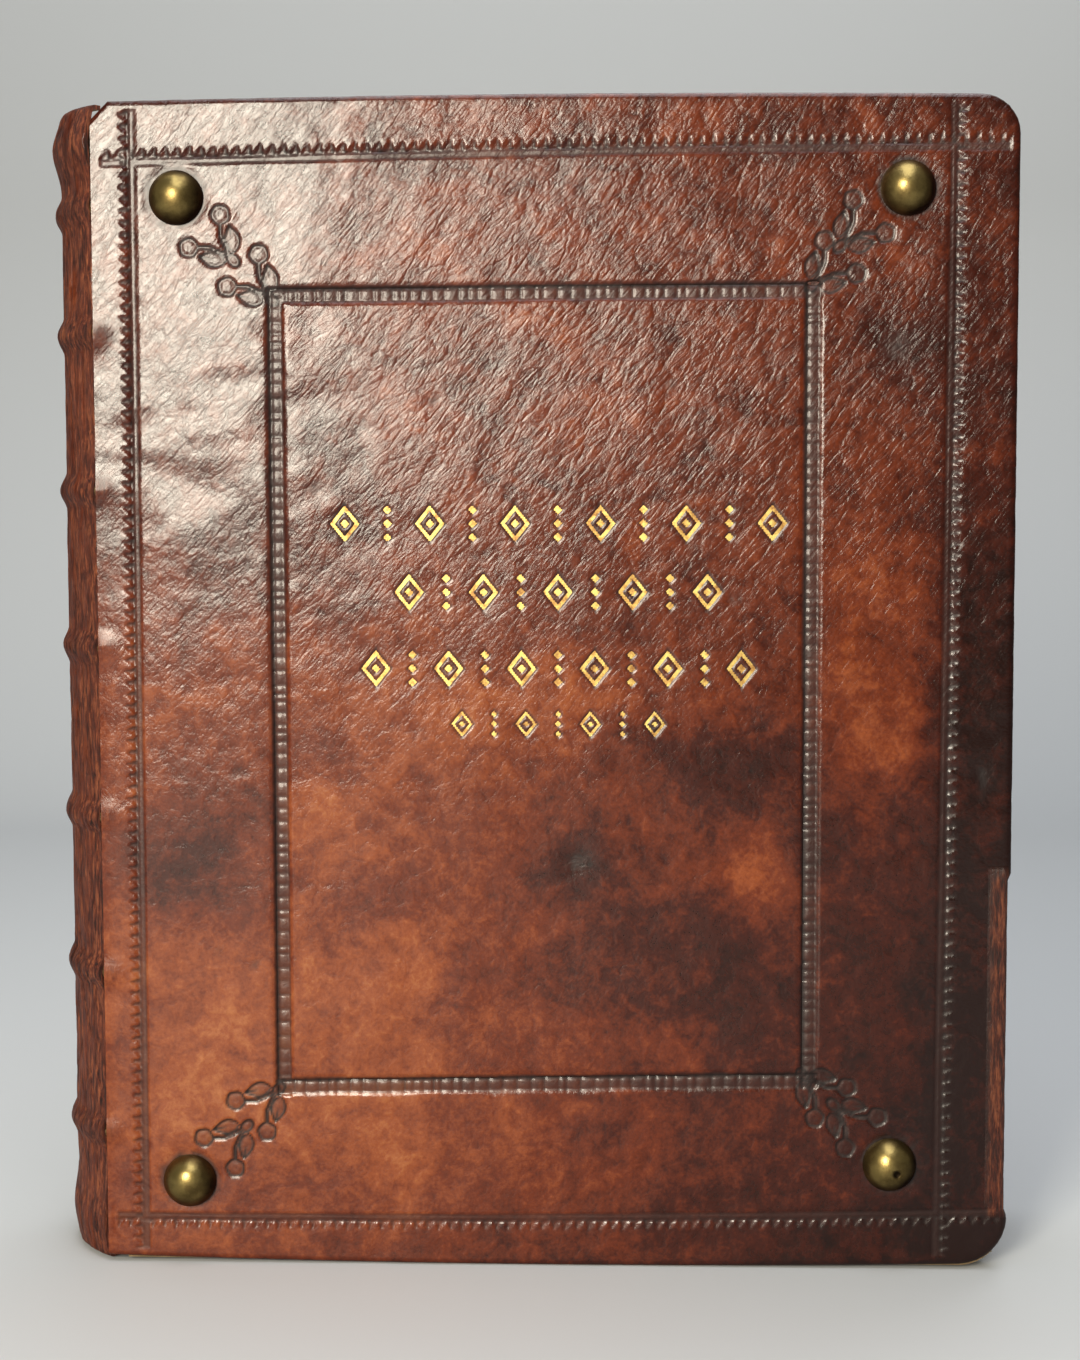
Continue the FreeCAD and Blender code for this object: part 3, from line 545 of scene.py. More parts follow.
cover_low, cover_high = box_mm("front_leather")
width = cover_high.x - cover_low.x
tall = cover_high.z - cover_low.z
thick = cover_high.y - cover_low.y


def cover_shell(cell):
    """The leather of a cover before its relief: x from the joint, y in from its face, z up."""
    bm = bmesh.new()
    # The face: round at the fore-edge corners, cut off at the head of the joint.
    outline = [(0, 0), (width, 0), (width, tall), (BACK_CORNER, tall), (0, tall - BACK_CORNER)]
    corners = [bm.verts.new((x, 0, z)) for x, z in outline]
    bm.faces.new(corners)
    for corner, radius in ((corners[1], TAIL_CORNER), (corners[2], HEAD_CORNER)):
        bmesh.ops.bevel(bm, geom=[corner], offset=radius, offset_type="OFFSET", segments=8,
                        affect="VERTICES", profile=0.5, material=-1)
    # Down three edges of the board, and turned in over its inside.
    rim = [edge for edge in bm.edges if max(vert.co.x for vert in edge.verts) > 0.01]
    walls = bmesh.ops.extrude_edge_only(bm, edges=rim)["geom"]
    lower = verts_of(walls)
    bmesh.ops.translate(bm, verts=lower, vec=(0, thick, 0))
    foot = [edge for edge in bm.edges if all(vert in lower for vert in edge.verts)]
    turned = bmesh.ops.extrude_edge_only(bm, edges=foot)["geom"]
    inner = verts_of(turned)
    for vert in inner:
        vert.co.x = min(vert.co.x, width - TURN_IN)
        vert.co.z = min(max(vert.co.z, TURN_IN), tall - TURN_IN)
    bmesh.ops.remove_doubles(bm, verts=inner, dist=0.01)
    round_rim = [edge for edge in bm.edges
                 if all(abs(vert.co.y) < 0.01 for vert in edge.verts)
                 and max(vert.co.x for vert in edge.verts) > 0.01]
    bmesh.ops.bevel(bm, geom=round_rim, offset=EDGE_ROUND, offset_type="OFFSET", segments=5,
                    affect="EDGES", profile=0.5, material=-1)
    bmesh.ops.recalc_face_normals(bm, faces=bm.faces)
    if max(bm.faces, key=lambda face: face.calc_area()).normal.y > 0:
        bmesh.ops.reverse_faces(bm, faces=bm.faces)
    # One thickness of leather. Slot 1 marks its outer sheet, and slot 2 its end at the joint.
    outside = [face for face in bm.faces if min(vert.co.y for vert in face.verts) < thick - 0.01]
    bmesh.ops.solidify(bm, geom=bm.faces[:], thickness=LEATHER)
    for vert in bm.verts:
        if BOARD_INSIDE - 1 < vert.co.y < BOARD_INSIDE:
            vert.co.y = BOARD_INSIDE
    ends = [face for face in bm.faces
            if all(vert.co.x < 0.01 and vert.co.y < LEATHER + 0.01 for vert in face.verts)
            and face.calc_center_median().z < tall - BACK_CORNER]
    for face in bm.faces:
        face.material_index = 0
    for face in outside:
        face.material_index = 1
    for face in ends:
        face.material_index = 2
    # Cells small enough to take the relief.
    sliced = cut_across(bm, outside, 0, slices(0, width, cell))
    sliced = cut_across(bm, sliced + ends, 2, slices(0, tall, cell))
    cut_across(bm, [face for face in sliced if face.material_index == 1], 1, EDGE_CUTS)
    bmesh.ops.remove_doubles(bm, verts=[v for v in bm.verts if v.co.y < EDGE_ROUND], dist=0.2)
    return bm


def spine_depth(u, z):
    """Depth of the spine leather's surface behind the cover's face, at u beyond the joint edge."""
    radius = spine_radius + spine_swell(z)
    across = axis_x - (cover_low.x - u)
    return (rear_face - front_face) / 2 - np.sqrt(np.maximum(radius ** 2 - across ** 2, 0))


def draw_joint(bm, seed):
    """Runs the outer sheet on over the joint, down on to the spine, to an uneven torn edge."""
    tip = [face for face in bm.faces if face.material_index == 2]
    for number in range(1, JOINT_STEPS + 1):
        pulled = bmesh.ops.extrude_face_region(bm, geom=tip)["geom"]
        tip = [item for item in pulled if isinstance(item, bmesh.types.BMFace)]
        for vert in verts_of(pulled):
            vert.co.x = -float(number)
    bm.verts.ensure_lookup_table()
    strip = [vert for vert in bm.verts if vert.co.x < -0.5]
    z = np.array([vert.co.z for vert in strip])
    step = np.array([-vert.co.x for vert in strip]) / JOINT_STEPS
    torn = JOINT_WIDTH + 0.9 * lumps(z, z, 9, seed) + 0.6 * lumps(z, z, 3, seed + 4)
    u = 0.5 + (torn - 0.5) * step
    surface = np.maximum(spine_depth(u, z), -0.5)
    thin = JOINT_SKIN * (1 - 0.55 * step)
    for vert, distance, depth, body in zip(strip, u, surface, thin):
        outer = vert.co.y < LEATHER / 2
        vert.co.x = -distance
        vert.co.y = depth - body if outer else depth + 0.1


# Blind tooling. The border and the frame were run by hand, so neither is quite square. Places are
# in mm from the tail corner at the joint. Each sprig gives its corner of the frame and how far out.
BORDER = [(13.1, 331.0), (252.8, 333.6), (250.8, 17.6), (12.8, 14.4)]
BORDER_MARGIN = 3.0
FILLET = 2.1
TOOTH_HEIGHT = 3.0
TOOTH_PITCH = 3.5
TOOTH_PEAK = 0.76
FRAME = [(54.4, 292.8), (213.3, 293.6), (213.2, 57.8), (54.7, 54.8)]
ROLL_WIDTH = 4.6
RUNG_STEPS = (2.2, 4.6)
SPRIGS = [
    (0, 4.6, 2.5), (0, 15.9, 14.0), (1, 2.7, 4.6), (1, 11.0, 16.2),
    (2, 1.7, 1.7), (2, 10.9, 10.7), (3, 5.3, 4.2), (3, 15.2, 15.8),
]
OUTWARD = [(-1, 1), (1, 1), (1, -1), (-1, -1)]
SPRIG_REACH = 14.5
FLOWER = (7.0, 6.7)
FLOWER_RADIUS = 2.9
LEAF = ((-3.8, 2.0), (3.4, 6.6))
LEAF_HALF = 2.3
SPRIG_FOOT = (-5.0, 0.0)
STEM_HALF = 0.6


def sides(x, z, corners):
    """For each side of a tooled oblong: distance run along it, distance to its left, and its length."""
    for start, end in zip(corners, corners[1:] + corners[:1]):
        length = math.dist(start, end)
        way = ((end[0] - start[0]) / length, (end[1] - start[1]) / length)
        run = (x - start[0]) * way[0] + (z - start[1]) * way[1]
        left = (z - start[1]) * way[0] - (x - start[0]) * way[1]
        yield run, left, length


def hand_weight(x, z):
    """How hard the hand pressed: the tools bit deepest toward the head and the joint."""
    return 0.65 + 0.35 * ease(z - 0.5 * x, -80, 160)


def border_marks(x, z):
    """The sawtooth border: a double fillet with teeth on its outer side. Gives depth, press and line."""
    depth, press, line = np.zeros((3, len(x)))
    room = np.minimum(np.minimum(x, width - x), np.minimum(z, tall - z))
    inside = ease(room, BORDER_MARGIN - 0.6, BORDER_MARGIN + 0.6)
    for run, left, length in sides(x, z, BORDER):
        place = (run / TOOTH_PITCH) % 1
        tooth = np.where(place < TOOTH_PEAK, place / TOOTH_PEAK, (1 - place) / (1 - TOOTH_PEAK))
        into = (TOOTH_HEIGHT * tooth - (left - FILLET)) * 0.5
        toothed = ease(into, -0.15, 0.35) * ease(left, FILLET - 0.4, FILLET)
        band = ease(left, -0.35, 0.25) * (1 - ease(left, FILLET - 0.3, FILLET + 0.3))
        fillets = np.exp(-((left - FILLET) / 0.45) ** 2) + 0.7 * np.exp(-((left - 0.1) / 0.45) ** 2)
        steep = ease(place, TOOTH_PEAK - 0.24, TOOTH_PEAK - 0.05) * (1 - ease(place, 0.97, 1.0))
        weight = hand_weight(x, z)
        depth = np.maximum(depth, (0.42 * toothed + 0.25 * band + 0.15 * fillets) * inside * weight)
        press = np.maximum(press, (0.12 * toothed + 0.6 * band) * inside)
        line = np.maximum(line, (0.65 * toothed * steep * weight + 0.22 * fillets) * inside)
    return depth, press, line


def roll_marks(x, z):
    """The frame, run with a worn roll: smooth pads between thin rungs, deeper on one side, where the
    groove is also painted nearly black as shade.
    """
    depth, press, line = np.zeros((3, len(x)))
    steps = np.random.default_rng(12)
    for number, (run, left, length) in enumerate(sides(x, z, FRAME)):
        rungs = np.cumsum(steps.uniform(*RUNG_STEPS, size=int(length / RUNG_STEPS[0]) + 4)) - 4
        place = np.clip(np.searchsorted(rungs, run), 1, len(rungs) - 1)
        before = run - rungs[place - 1]
        after = rungs[place] - run
        gap = np.minimum(before, after)
        share = before / (before + after)
        half = ROLL_WIDTH / 2
        ends = ease(run, -half - 0.5, -half) * (1 - ease(run, length + half, length + half + 0.5))
        band = ease(half - np.abs(left), -0.1, 0.35) * ends
        rung = np.exp(-(gap / 0.32) ** 2) * (0.55 + 0.45 * lumps(run, left * 0, 3.1, 60.0 + number))
        shadow_side = 1 if number in (0, 3) else -1
        ragged = 0.30 + 0.25 * lumps(run, left * 0, 1.7, 70.0 + number)
        # On each line's upper or left wall, the side in shadow, the groove is cut deeper and painted
        # nearly black as shade.
        painted_shade_groove = np.exp(-((left * shadow_side - half + ragged) / 0.7) ** 2) * ends
        pad = 0.20 * (1 - (2 * share - 1) ** 2) * (1 - (left / half) ** 2)
        welt = np.exp(-((left * -shadow_side - half - 0.5) / 0.5) ** 2) * ends
        pressed = (0.55 - pad) * band + 0.18 * rung * band + 0.30 * painted_shade_groove - 0.07 * welt
        depth = np.where(np.abs(pressed) > np.abs(depth), pressed, depth)
        press = np.maximum(press, 0.65 * band)
        # Dark rungs, and painted shade nearly black in the groove on the shadow side.
        line = np.maximum(line, 0.65 * rung * band + 0.95 * painted_shade_groove)
    return depth, press, line


def near_path(run, side, points):
    """Distance to a path of straight steps."""
    best = np.full_like(run, 99.0)
    for (a, b), (c, d) in zip(points, points[1:]):
        length = math.hypot(c - a, d - b)
        share = np.clip(((run - a) * (c - a) + (side - b) * (d - b)) / length ** 2, 0, 1)
        best = np.minimum(best, np.hypot(run - a - (c - a) * share, side - b - (d - b) * share))
    return best


def sprig_marks(x, z):
    """Two sprigs in each corner, outside the frame: two flowers on bent stems over two cleft leaves."""
    depth, press, line = np.zeros((3, len(x)))
    for number, aside, beyond in SPRIGS:
        right, up = OUTWARD[number]
        middle_x = FRAME[number][0] + right * aside
        middle_z = FRAME[number][1] + up * beyond
        run = ((x - middle_x) * right + (z - middle_z) * up) / math.sqrt(2)
        side = ((x - middle_x) * -up + (z - middle_z) * right) / math.sqrt(2)
        near = np.hypot(run, side) < SPRIG_REACH
        if not near.any():
            continue
        run, side = run[near], side[near]
        hand = np.abs(side)
        flower = FLOWER_RADIUS - np.hypot(run - FLOWER[0], hand - FLOWER[1])
        petals = 0.1 * np.sin(5 * np.arctan2(hand - FLOWER[1], run - FLOWER[0]))
        stem = STEM_HALF - near_path(run, hand, [SPRIG_FOOT, (-1.5, 0.7), (2.5, 2.3), (5.4, 5.0)])
        (foot_run, foot_side), (tip_run, tip_side) = LEAF
        length = math.hypot(tip_run - foot_run, tip_side - foot_side)
        way = ((tip_run - foot_run) / length, (tip_side - foot_side) / length)
        grown = ((run - foot_run) * way[0] + (hand - foot_side) * way[1]) / length
        off = np.abs((hand - foot_side) * way[0] - (run - foot_run) * way[1])
        leaf = LEAF_HALF * np.sin(np.pi * np.clip(grown, 0, 1) ** 0.8) - off
        leaf = np.where((grown > 0) & (grown < 1), leaf, -1)
        base = 1.7 - np.hypot((run - SPRIG_FOOT[0]) * 0.7, side)
        shape = np.maximum(np.maximum(flower + petals, stem), np.maximum(leaf, base))
        into = ease(shape, -0.15, 0.4)
        outline = np.exp(-((shape - 0.2) / 0.5) ** 2)
        welt = np.exp(-((shape + 0.55) / 0.4) ** 2)
        vein = np.exp(-(off / 0.35) ** 2) * (leaf > 0.2) * ease(grown, 0.40, 0.65)
        heart = np.exp(-((flower - 1.9) / 0.4) ** 2) * (flower > 0.5)
        pressed = 0.26 * into + 0.20 * outline - 0.10 * heart - 0.08 * welt + 0.12 * vein
        depth[near] = np.where(np.abs(pressed) > np.abs(depth[near]), pressed, depth[near])
        press[near] = np.maximum(press[near], 0.3 * into)
        # The outlines and leaf veins are painted dark, partly as the burn of the tool and partly as
        # painted shade in the marks' walls.
        line[near] = np.maximum(line[near], np.clip(outline + 0.9 * vein, 0, 1) * ease(shape, -0.5, 0))
    return depth, press, line


# Gilt ornament: rows of lozenges and diamonds, worked with one tool each. Each row gives how many
# motifs it has, how far apart, how far down from the head, and their scale.
GILT_ROWS = [
    (11, 12.7, 124.6, 1.0), (9, 11.1, 145.0, 1.0), (11, 10.9, 167.8, 1.0), (7, 9.6, 184.4, 0.72),
]
GILT_HALF_WIDTH = 4.4
GILT_HALF_HEIGHT = 5.5
GILT_STROKE = 1.4
GILT_SQUARE_ON = 0.78
GILT_DOT = 1.4
GILT_DEPTH = 0.3

gilt_low, gilt_high = box_mm("gilt_tooling")
gilt_middle = (gilt_low.x + gilt_high.x) / 2 - cover_low.x


def gilt_motifs():
    """Where each motif stands, its scale, and whether it is an open lozenge."""
    for count, pitch, drop, scale in GILT_ROWS:
        for number in range(count):
            x = gilt_middle + (number - (count - 1) / 2) * pitch
            yield x, tall - drop, scale, number % 2 == 0


def gilt_marks(x, z):
    """Where the gilt tools bit. A lozenge's stroke is measured square to its sides."""
    depth, line = np.zeros((2, len(x)))
    for place, level, scale, lozenge in gilt_motifs():
        half_height = GILT_HALF_HEIGHT * scale
        near = (np.abs(x - place) < GILT_HALF_WIDTH * scale + 1) & (np.abs(z - level) < half_height + 1)
        if not near.any():
            continue
        a = np.abs(x[near] - place)
        b = z[near] - level
        shape = GILT_DOT * scale - a - np.abs(b)
        if lozenge:
            slope = GILT_HALF_HEIGHT / GILT_HALF_WIDTH
            ring = (GILT_HALF_WIDTH * scale - a - np.abs(b) / slope) * GILT_SQUARE_ON
            shape = np.maximum(shape, np.minimum(ring, GILT_STROKE * scale * GILT_SQUARE_ON - ring))
        else:
            rise = half_height - GILT_DOT * scale
            for centre in (rise, -rise):
                shape = np.maximum(shape, GILT_DOT * scale - a - np.abs(b - centre))
        depth[near] = np.maximum(depth[near], GILT_DEPTH * ease(shape, -0.35, 0.05))
        # A dark ring round each motif is painted shade at the edge of its recess.
        line[near] = np.maximum(line[near], 0.85 * np.exp(-((shape + 0.25) / 0.3) ** 2))
    return depth, line


# Wear on the front cover: leather lost from the fore-edge between two heights, a crack, bumps of the
# slips, scratches, and dents, each with its size.
LOSS = (16.0, 121.0)
LOSS_DEPTH = 0.9
CRACK = [(273.0, 155.4), (265.4, 155.1), (263.7, 150.0), (263.2, 140.0), (263.0, 131.7)]
SLIP_BUMPS = [(1.2, 235.7), (0.5, 281.3), (1.1, 137.6), (1.0, 188.5), (1.2, 89.5), (1.0, 41.0)]
SCRATCHES = [
    [(22.0, 117.5), (29.5, 114.8)], [(37.0, 252.0), (58.0, 246.0)], [(96.0, 238.0), (108.0, 247.0)],
    [(150.0, 274.0), (158.0, 283.0)], [(226.0, 268.0), (240.0, 274.0)], [(84.0, 97.0), (96.0, 100.0)],
    [(186.0, 66.0), (193.0, 66.5)], [(30.0, 205.0), (44.0, 211.0)],
]
DENTS = [
    (143.0, 124.5, 3.0), (237.5, 277.0, 4.5), (88.0, 98.0, 1.2), (35.0, 96.0, 1.3),
    (46.0, 92.0, 1.1), (190.0, 203.0, 2.0), (120.0, 300.0, 2.2), (171.0, 266.0, 2.0),
    (66.0, 236.0, 2.4), (101.0, 262.0, 2.0),
]
boss_names = ["boss_head_spine", "boss_head_fore", "boss_tail_spine", "boss_tail_fore"]
boss_places = []
for name in boss_names:
    low, high = box_mm(name)
    boss_places.append(((low.x + high.x) / 2 - cover_low.x, (low.z + high.z) / 2))
BOSS_RADIUS = 8.0


def front_relief(x, z):
    """Relief of the front cover in mm, outwards, with how pressed and how dark each spot is."""
    hide = 0.30 * lumps(x, z, 62, 1.5) + 0.20 * lumps(x, z, 20, 2.5) + 0.12 * lumps(x, z, 7.5, 3.5)
    turned = math.radians(50)
    along = x * math.cos(turned) + z * math.sin(turned)
    across = z * math.cos(turned) - x * math.sin(turned)
    folds = 1 - np.abs(lumps(across, along, 6.5, 4.5, 4.0)) * 2
    drawn = 1 - np.abs(lumps(z, x, 7.5, 6.5, 3.5)) * 2
    upper = ease(z, 150, 280)
    left = 1 - ease(x, 55, 130)
    hide += 0.09 * folds * (0.15 + 0.85 * upper) * (1 - 0.6 * left)
    hide += 0.13 * drawn * left * ease(z, 110, 230)
    # The tools, each cut as deep as the deepest one that passed there.
    depth, press, line = border_marks(x, z)
    for marks in (roll_marks(x, z), sprig_marks(x, z)):
        taken = np.abs(marks[0]) > np.abs(depth)
        depth = np.where(taken, marks[0], depth)
        press = np.maximum(press, marks[1])
        line = np.maximum(line, marks[2])
    gilt_depth, gilt_line = gilt_marks(x, z)
    depth = np.maximum(depth, gilt_depth)
    line = np.maximum(line, gilt_line)
    worn = np.zeros_like(x)
    # Leather sunk round each boss and darkened in a ring at its foot, pushed up over the laced slips,
    # dented and scratched.
    for place_x, place_z in boss_places:
        away = np.hypot(x - place_x, z - place_z)
        hide -= 0.30 * np.exp(-((away - BOSS_RADIUS - 0.3) / 1.5) ** 2)
        line = np.maximum(line, 0.9 * np.exp(-((away - BOSS_RADIUS) / 0.9) ** 2))
        hide = np.where(away < BOSS_RADIUS, np.minimum(hide, 0.0), hide)
    for place_x, place_z in SLIP_BUMPS:
        away = ((x - place_x) / 4.0) ** 2 + ((z - place_z) / 3.4) ** 2
        hide += 0.75 * np.exp(-away)
        worn = np.maximum(worn, 0.4 * np.exp(-away * 1.4))
    for place_x, place_z, size in DENTS:
        away = np.hypot(x - place_x, z - place_z) / size
        depth += 0.35 * np.exp(-away ** 2)
        line = np.maximum(line, 0.6 * np.exp(-(away * 1.4) ** 2))
    for scratch in SCRATCHES:
        away = near_path(x, z, scratch)
        depth += 0.15 * np.exp(-(away / 0.5) ** 2)
    crack = np.exp(-(near_path(x, z, CRACK) / 0.5) ** 2)
    depth += 0.5 * crack
    line = np.maximum(line, 0.9 * crack)
    # The joint has sunk into a groove in its lower half.
    groove = np.exp(-((x - 0.3) / 1.6) ** 2)
    hide -= 0.35 * groove * (1 - ease(z, 150, 230))
    return hide - depth, np.clip(press, 0, 1), np.clip(line, 0, 1), worn


# Clouds in the colour, as middle, half width, half height and strength: pale above 0, dark below.
STAINS = [
    (60, 66, 62, 34, 0.11), (66, 128, 20, 22, 0.09), (112, 168, 50, 14, 0.08),
    (150, 177, 40, 10, 0.07), (196, 121, 14, 14, 0.24), (226, 160, 13, 28, 0.24),
    (228, 205, 13, 26, 0.14), (244, 168, 10, 30, 0.10), (40, 42, 40, 18, 0.06),
    (262, 338, 14, 8, 0.12), (194, 206, 16, 20, 0.07), (172, 118, 12, 6, 0.08),
    (96, 100, 24, 8, 0.10), (70, 146, 16, 7, 0.08), (214, 96, 10, 9, 0.06),
    (176, 66, 20, 8, 0.07), (34, 128, 26, 24, -0.18), (24, 118, 10, 9, -0.10),
    (143, 121, 16, 10, -0.18), (143, 124, 4, 4, -0.15), (165, 104, 26, 14, -0.10),
    (130, 88, 26, 12, -0.10), (192, 80, 16, 14, -0.14), (185, 152, 24, 10, -0.10),
    (237, 276, 14, 14, -0.16), (190, 10, 120, 10, -0.10), (252, 60, 26, 60, -0.06),
    (112, 218, 46, 26, -0.05), (84, 112, 12, 9, -0.08), (60, 160, 18, 12, -0.08),
    (222, 128, 10, 14, -0.08), (120, 334, 120, 8, -0.05),
]


def cover_tone(x, z):
    """How light the front cover is: paler to the lower left, darker to the fore-edge and the foot."""
    right = ease(x, 80, 250)
    lower = 1 - ease(z, 170, 240)
    tone = 0.01 + 0.06 * lower * (1 - right) - right * (0.06 + 0.13 * lower) - 0.11 * ease(x, 240, 256)
    tone -= 0.12 * (1 - lower) * (1 - ease(x, 50, 110))
    for middle_x, middle_z, half_x, half_z, strength in STAINS:
        wander = 0.8 * lumps(x, z, 0.6 * min(half_x, half_z) + 3, middle_x)
        away = ((x - middle_x) / half_x) ** 2 + ((z - middle_z) / half_z) ** 2
        tone += strength * np.exp(-away * (1 + wander))
    return tone


def finish_cover(bm, name, relief, tone, fore_edge_loss, inwards, face_y):
    """Presses the relief into the sheet, shapes its edges and puts it in its place on the book."""
    bm.verts.ensure_lookup_table()
    outer = np.array([any(face.material_index == 1 for face in vert.link_faces) for vert in bm.verts])
    spots = np.array([vert.co for vert in bm.verts])
    x, depth, z = spots[:, 0].copy(), spots[:, 1].copy(), spots[:, 2].copy()
    face = outer & (x > -0.01) & (depth < EDGE_ROUND)
    rise, press, line, worn = np.zeros((4, len(x)))
    rise[face], press[face], line[face], worn[face] = relief(x[face], z[face])
    fade = 1 - ease(depth, 0, EDGE_ROUND)
    spots[:, 1] -= rise * fade
    # Years on a shelf have rubbed the edges uneven, and the fore-edge has lost a strip of skin.
    edge_noise = 0.22 * lumps(x + depth, z, 9, 11.0) + 0.14 * lumps(x, z + depth, 3.2, 12.0)
    side = outer & (x > 0.5)
    out = ease(depth, 0.2, EDGE_ROUND) * edge_noise * side
    spots[:, 0] -= np.where(x > width - 3, np.abs(out), 0)
    spots[:, 2] -= np.where(z > tall - 3, np.abs(out), 0)
    spots[:, 2] += np.where(z < 3, np.abs(out) * 0.5, 0)
    if fore_edge_loss:
        ragged = 1.2 * lumps(z, depth, 2.5, 13.0)
        lost = ease(z + ragged, LOSS[0] - 1, LOSS[0] + 1)
        lost *= 1 - ease(z + ragged, LOSS[1] - 1, LOSS[1] + 0.5)
        spots[:, 0] -= LOSS_DEPTH * lost * ease(x, width - 2.2, width - 1.6) * outer
        worn = np.maximum(worn, 0.6 * lost * ease(x, width - 7 + ragged * 0.6, width - 4) * outer)
    # The board has warped: its head edge is bowed and its tail corners stand up.
    across = 2 * x / width - 1
    spots[:, 2] += HEAD_BOW * (1 - across ** 2) * ease(z, tall - BOW_LENGTH, tall)
    spots[:, 2] += TAIL_LIFT * across ** 2 * (1 - ease(z, 0, LIFT_LENGTH))
    # Over the joint the skin is rubbed above, still dark below, and torn at its end.
    overrun = ease(-x, 0.0, 0.6)
    upper = ease(z, 130, 210)
    tip = ease(-x, JOINT_WIDTH - 0.8, JOINT_WIDTH - 0.2)
    worn = np.maximum(worn, overrun * 0.6 * upper + 0.8 * tip)
    press = np.maximum(press, 0.4 * overrun * (1 - upper) * (1 - tip))
    worn = np.maximum(worn, 0.25 * ease(depth, 0.2, EDGE_ROUND) * (1 + lumps(x + depth, z, 5, 14.0)))
    shade = tone(x, z) - 0.05 * ease(depth, 0.1, 1.2)
    rim = np.minimum(np.minimum(width - x, tall - z), z)
    shade -= 0.07 * (1 - ease(rim, 0.5, 4))
    torn = (x < -0.01) & (x <= -(JOINT_WIDTH - 0.9))
    line = np.maximum(line, 0.7 * torn)
    for vert, spot in zip(bm.verts, spots):
        vert.co = (cover_low.x + spot[0], face_y + inwards * spot[1], spot[2])
    if inwards < 0:
        bmesh.ops.reverse_faces(bm, faces=bm.faces)
    sheet = make_piece(bm, name, calf, 60)
    give(sheet.data, "tone", shade)
    give(sheet.data, "press", press)
    give(sheet.data, "line", line)
    give(sheet.data, "worn", np.clip(worn, 0, 1))
    return sheet


def refine(bm, wanted):
    """Cuts each face of the outer sheet in four where its middle is in the wanted places."""
    faces = [face for face in bm.faces if face.material_index == 1]
    middles = np.array([face.calc_center_median() for face in faces])
    keep = wanted(middles[:, 0], middles[:, 2]) & (middles[:, 1] < 0.4)
    edges = dict.fromkeys(edge for face, chosen in zip(faces, keep) if chosen for edge in face.edges)
    bmesh.ops.subdivide_edges(bm, edges=list(edges), cuts=1, use_grid_fill=True)


def tooled_area(x, z, spare):
    """Whether a spot is within reach of a tooled mark, where the mesh has to be finer."""
    near = np.zeros(len(x), bool)
    for corners, low, high in ((BORDER, -1.4, FILLET + TOOTH_HEIGHT + 0.2), (FRAME, -2.6, 2.6)):
        ends = 20 if corners is BORDER else 3
        for run, left, length in sides(x, z, corners):
            near |= (left > low - spare) & (left < high + spare) & (run > -ends) & (run < length + ends)
    for number, aside, beyond in SPRIGS:
        middle_x = FRAME[number][0] + OUTWARD[number][0] * (aside + 1.1)
        middle_z = FRAME[number][1] + OUTWARD[number][1] * (beyond + 1.1)
        near |= np.hypot(x - middle_x, z - middle_z) < 12.0 + spare
    for count, pitch, drop, scale in GILT_ROWS:
        tall_enough = np.abs(z - tall + drop) < GILT_HALF_HEIGHT * scale + 0.6 + spare
        reach = (count - 1) / 2 * pitch + GILT_HALF_WIDTH + 1 + spare
        near |= tall_enough & (np.abs(x - gilt_middle) < reach)
    return near


front = cover_shell(CELL)
draw_joint(front, 21.0)
refine(front, lambda x, z: tooled_area(x, z, 1.3))
refine(front, lambda x, z: tooled_area(x, z, 0.0))
front_sheet = finish_cover(front, "front_cover_leather", front_relief, cover_tone, True, 1, front_face)
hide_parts("front_leather")
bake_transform(front_sheet)

# Rear cover leather
# The same skin on the other board, polished but without ornament: only a plain double line, run
# with a fillet, follows its edges.

REAR_CELL = 3.4
REAR_LINES = (14.0, 16.2)


def rear_relief(x, z):
    """Relief of the rear cover: uneven hide, with two thin lines round its edges."""
    hide = 0.30 * lumps(x, z, 58, 31.5) + 0.16 * lumps(x, z, 20, 32.5) + 0.06 * lumps(x, z, 8.5, 33.5)
    room = np.minimum(np.minimum(x, width - x), np.minimum(z, tall - z))
    lines = sum(np.exp(-((room - place) / 0.55) ** 2) for place in REAR_LINES)
    return hide - 0.3 * lines, 0.5 * lines, 0.35 * lines, np.zeros_like(x)


def rear_tone(x, z):
    """How light the rear cover is: wide soft clouds."""
    return 0.05 + 0.13 * lumps(x, z, 45, 41.0) + 0.10 * lumps(x, z, 17, 42.0)


rear = cover_shell(REAR_CELL)
draw_joint(rear, 51.0)
rear_sheet = finish_cover(rear, "rear_cover_leather", rear_relief, rear_tone, False, -1, rear_face)
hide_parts("rear_leather")
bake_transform(rear_sheet)

# Pastedowns
# The outer leaf of each endpaper, pasted down over the board and the turned-in leather. The paste
# has let the leather's edge show through as a brown stain.

clothe(["front_pastedown", "rear_pastedown"],
       laid_paper("endpaper", "#dccba4", "#cbb78c", "#b39a6c", "#7d5c34"))

# Bosses
# Four cast brass domes, turned, filed and burnished, each with its own shank driven through leather
# and board. They keep the cover off the table, and a brown patina has grown over them.

BOSS_HEIGHT = 6.5
BOSS_RIM = 0.8
SHANK_RADIUS = 1.1
DOME_CUTS = 13
DOME_STEPS = 56
NAIL_PIT = (1.7, -1.5)
NAIL_PIT_RADIUS = 1.15
NAIL_PIT_DEPTH = 0.9

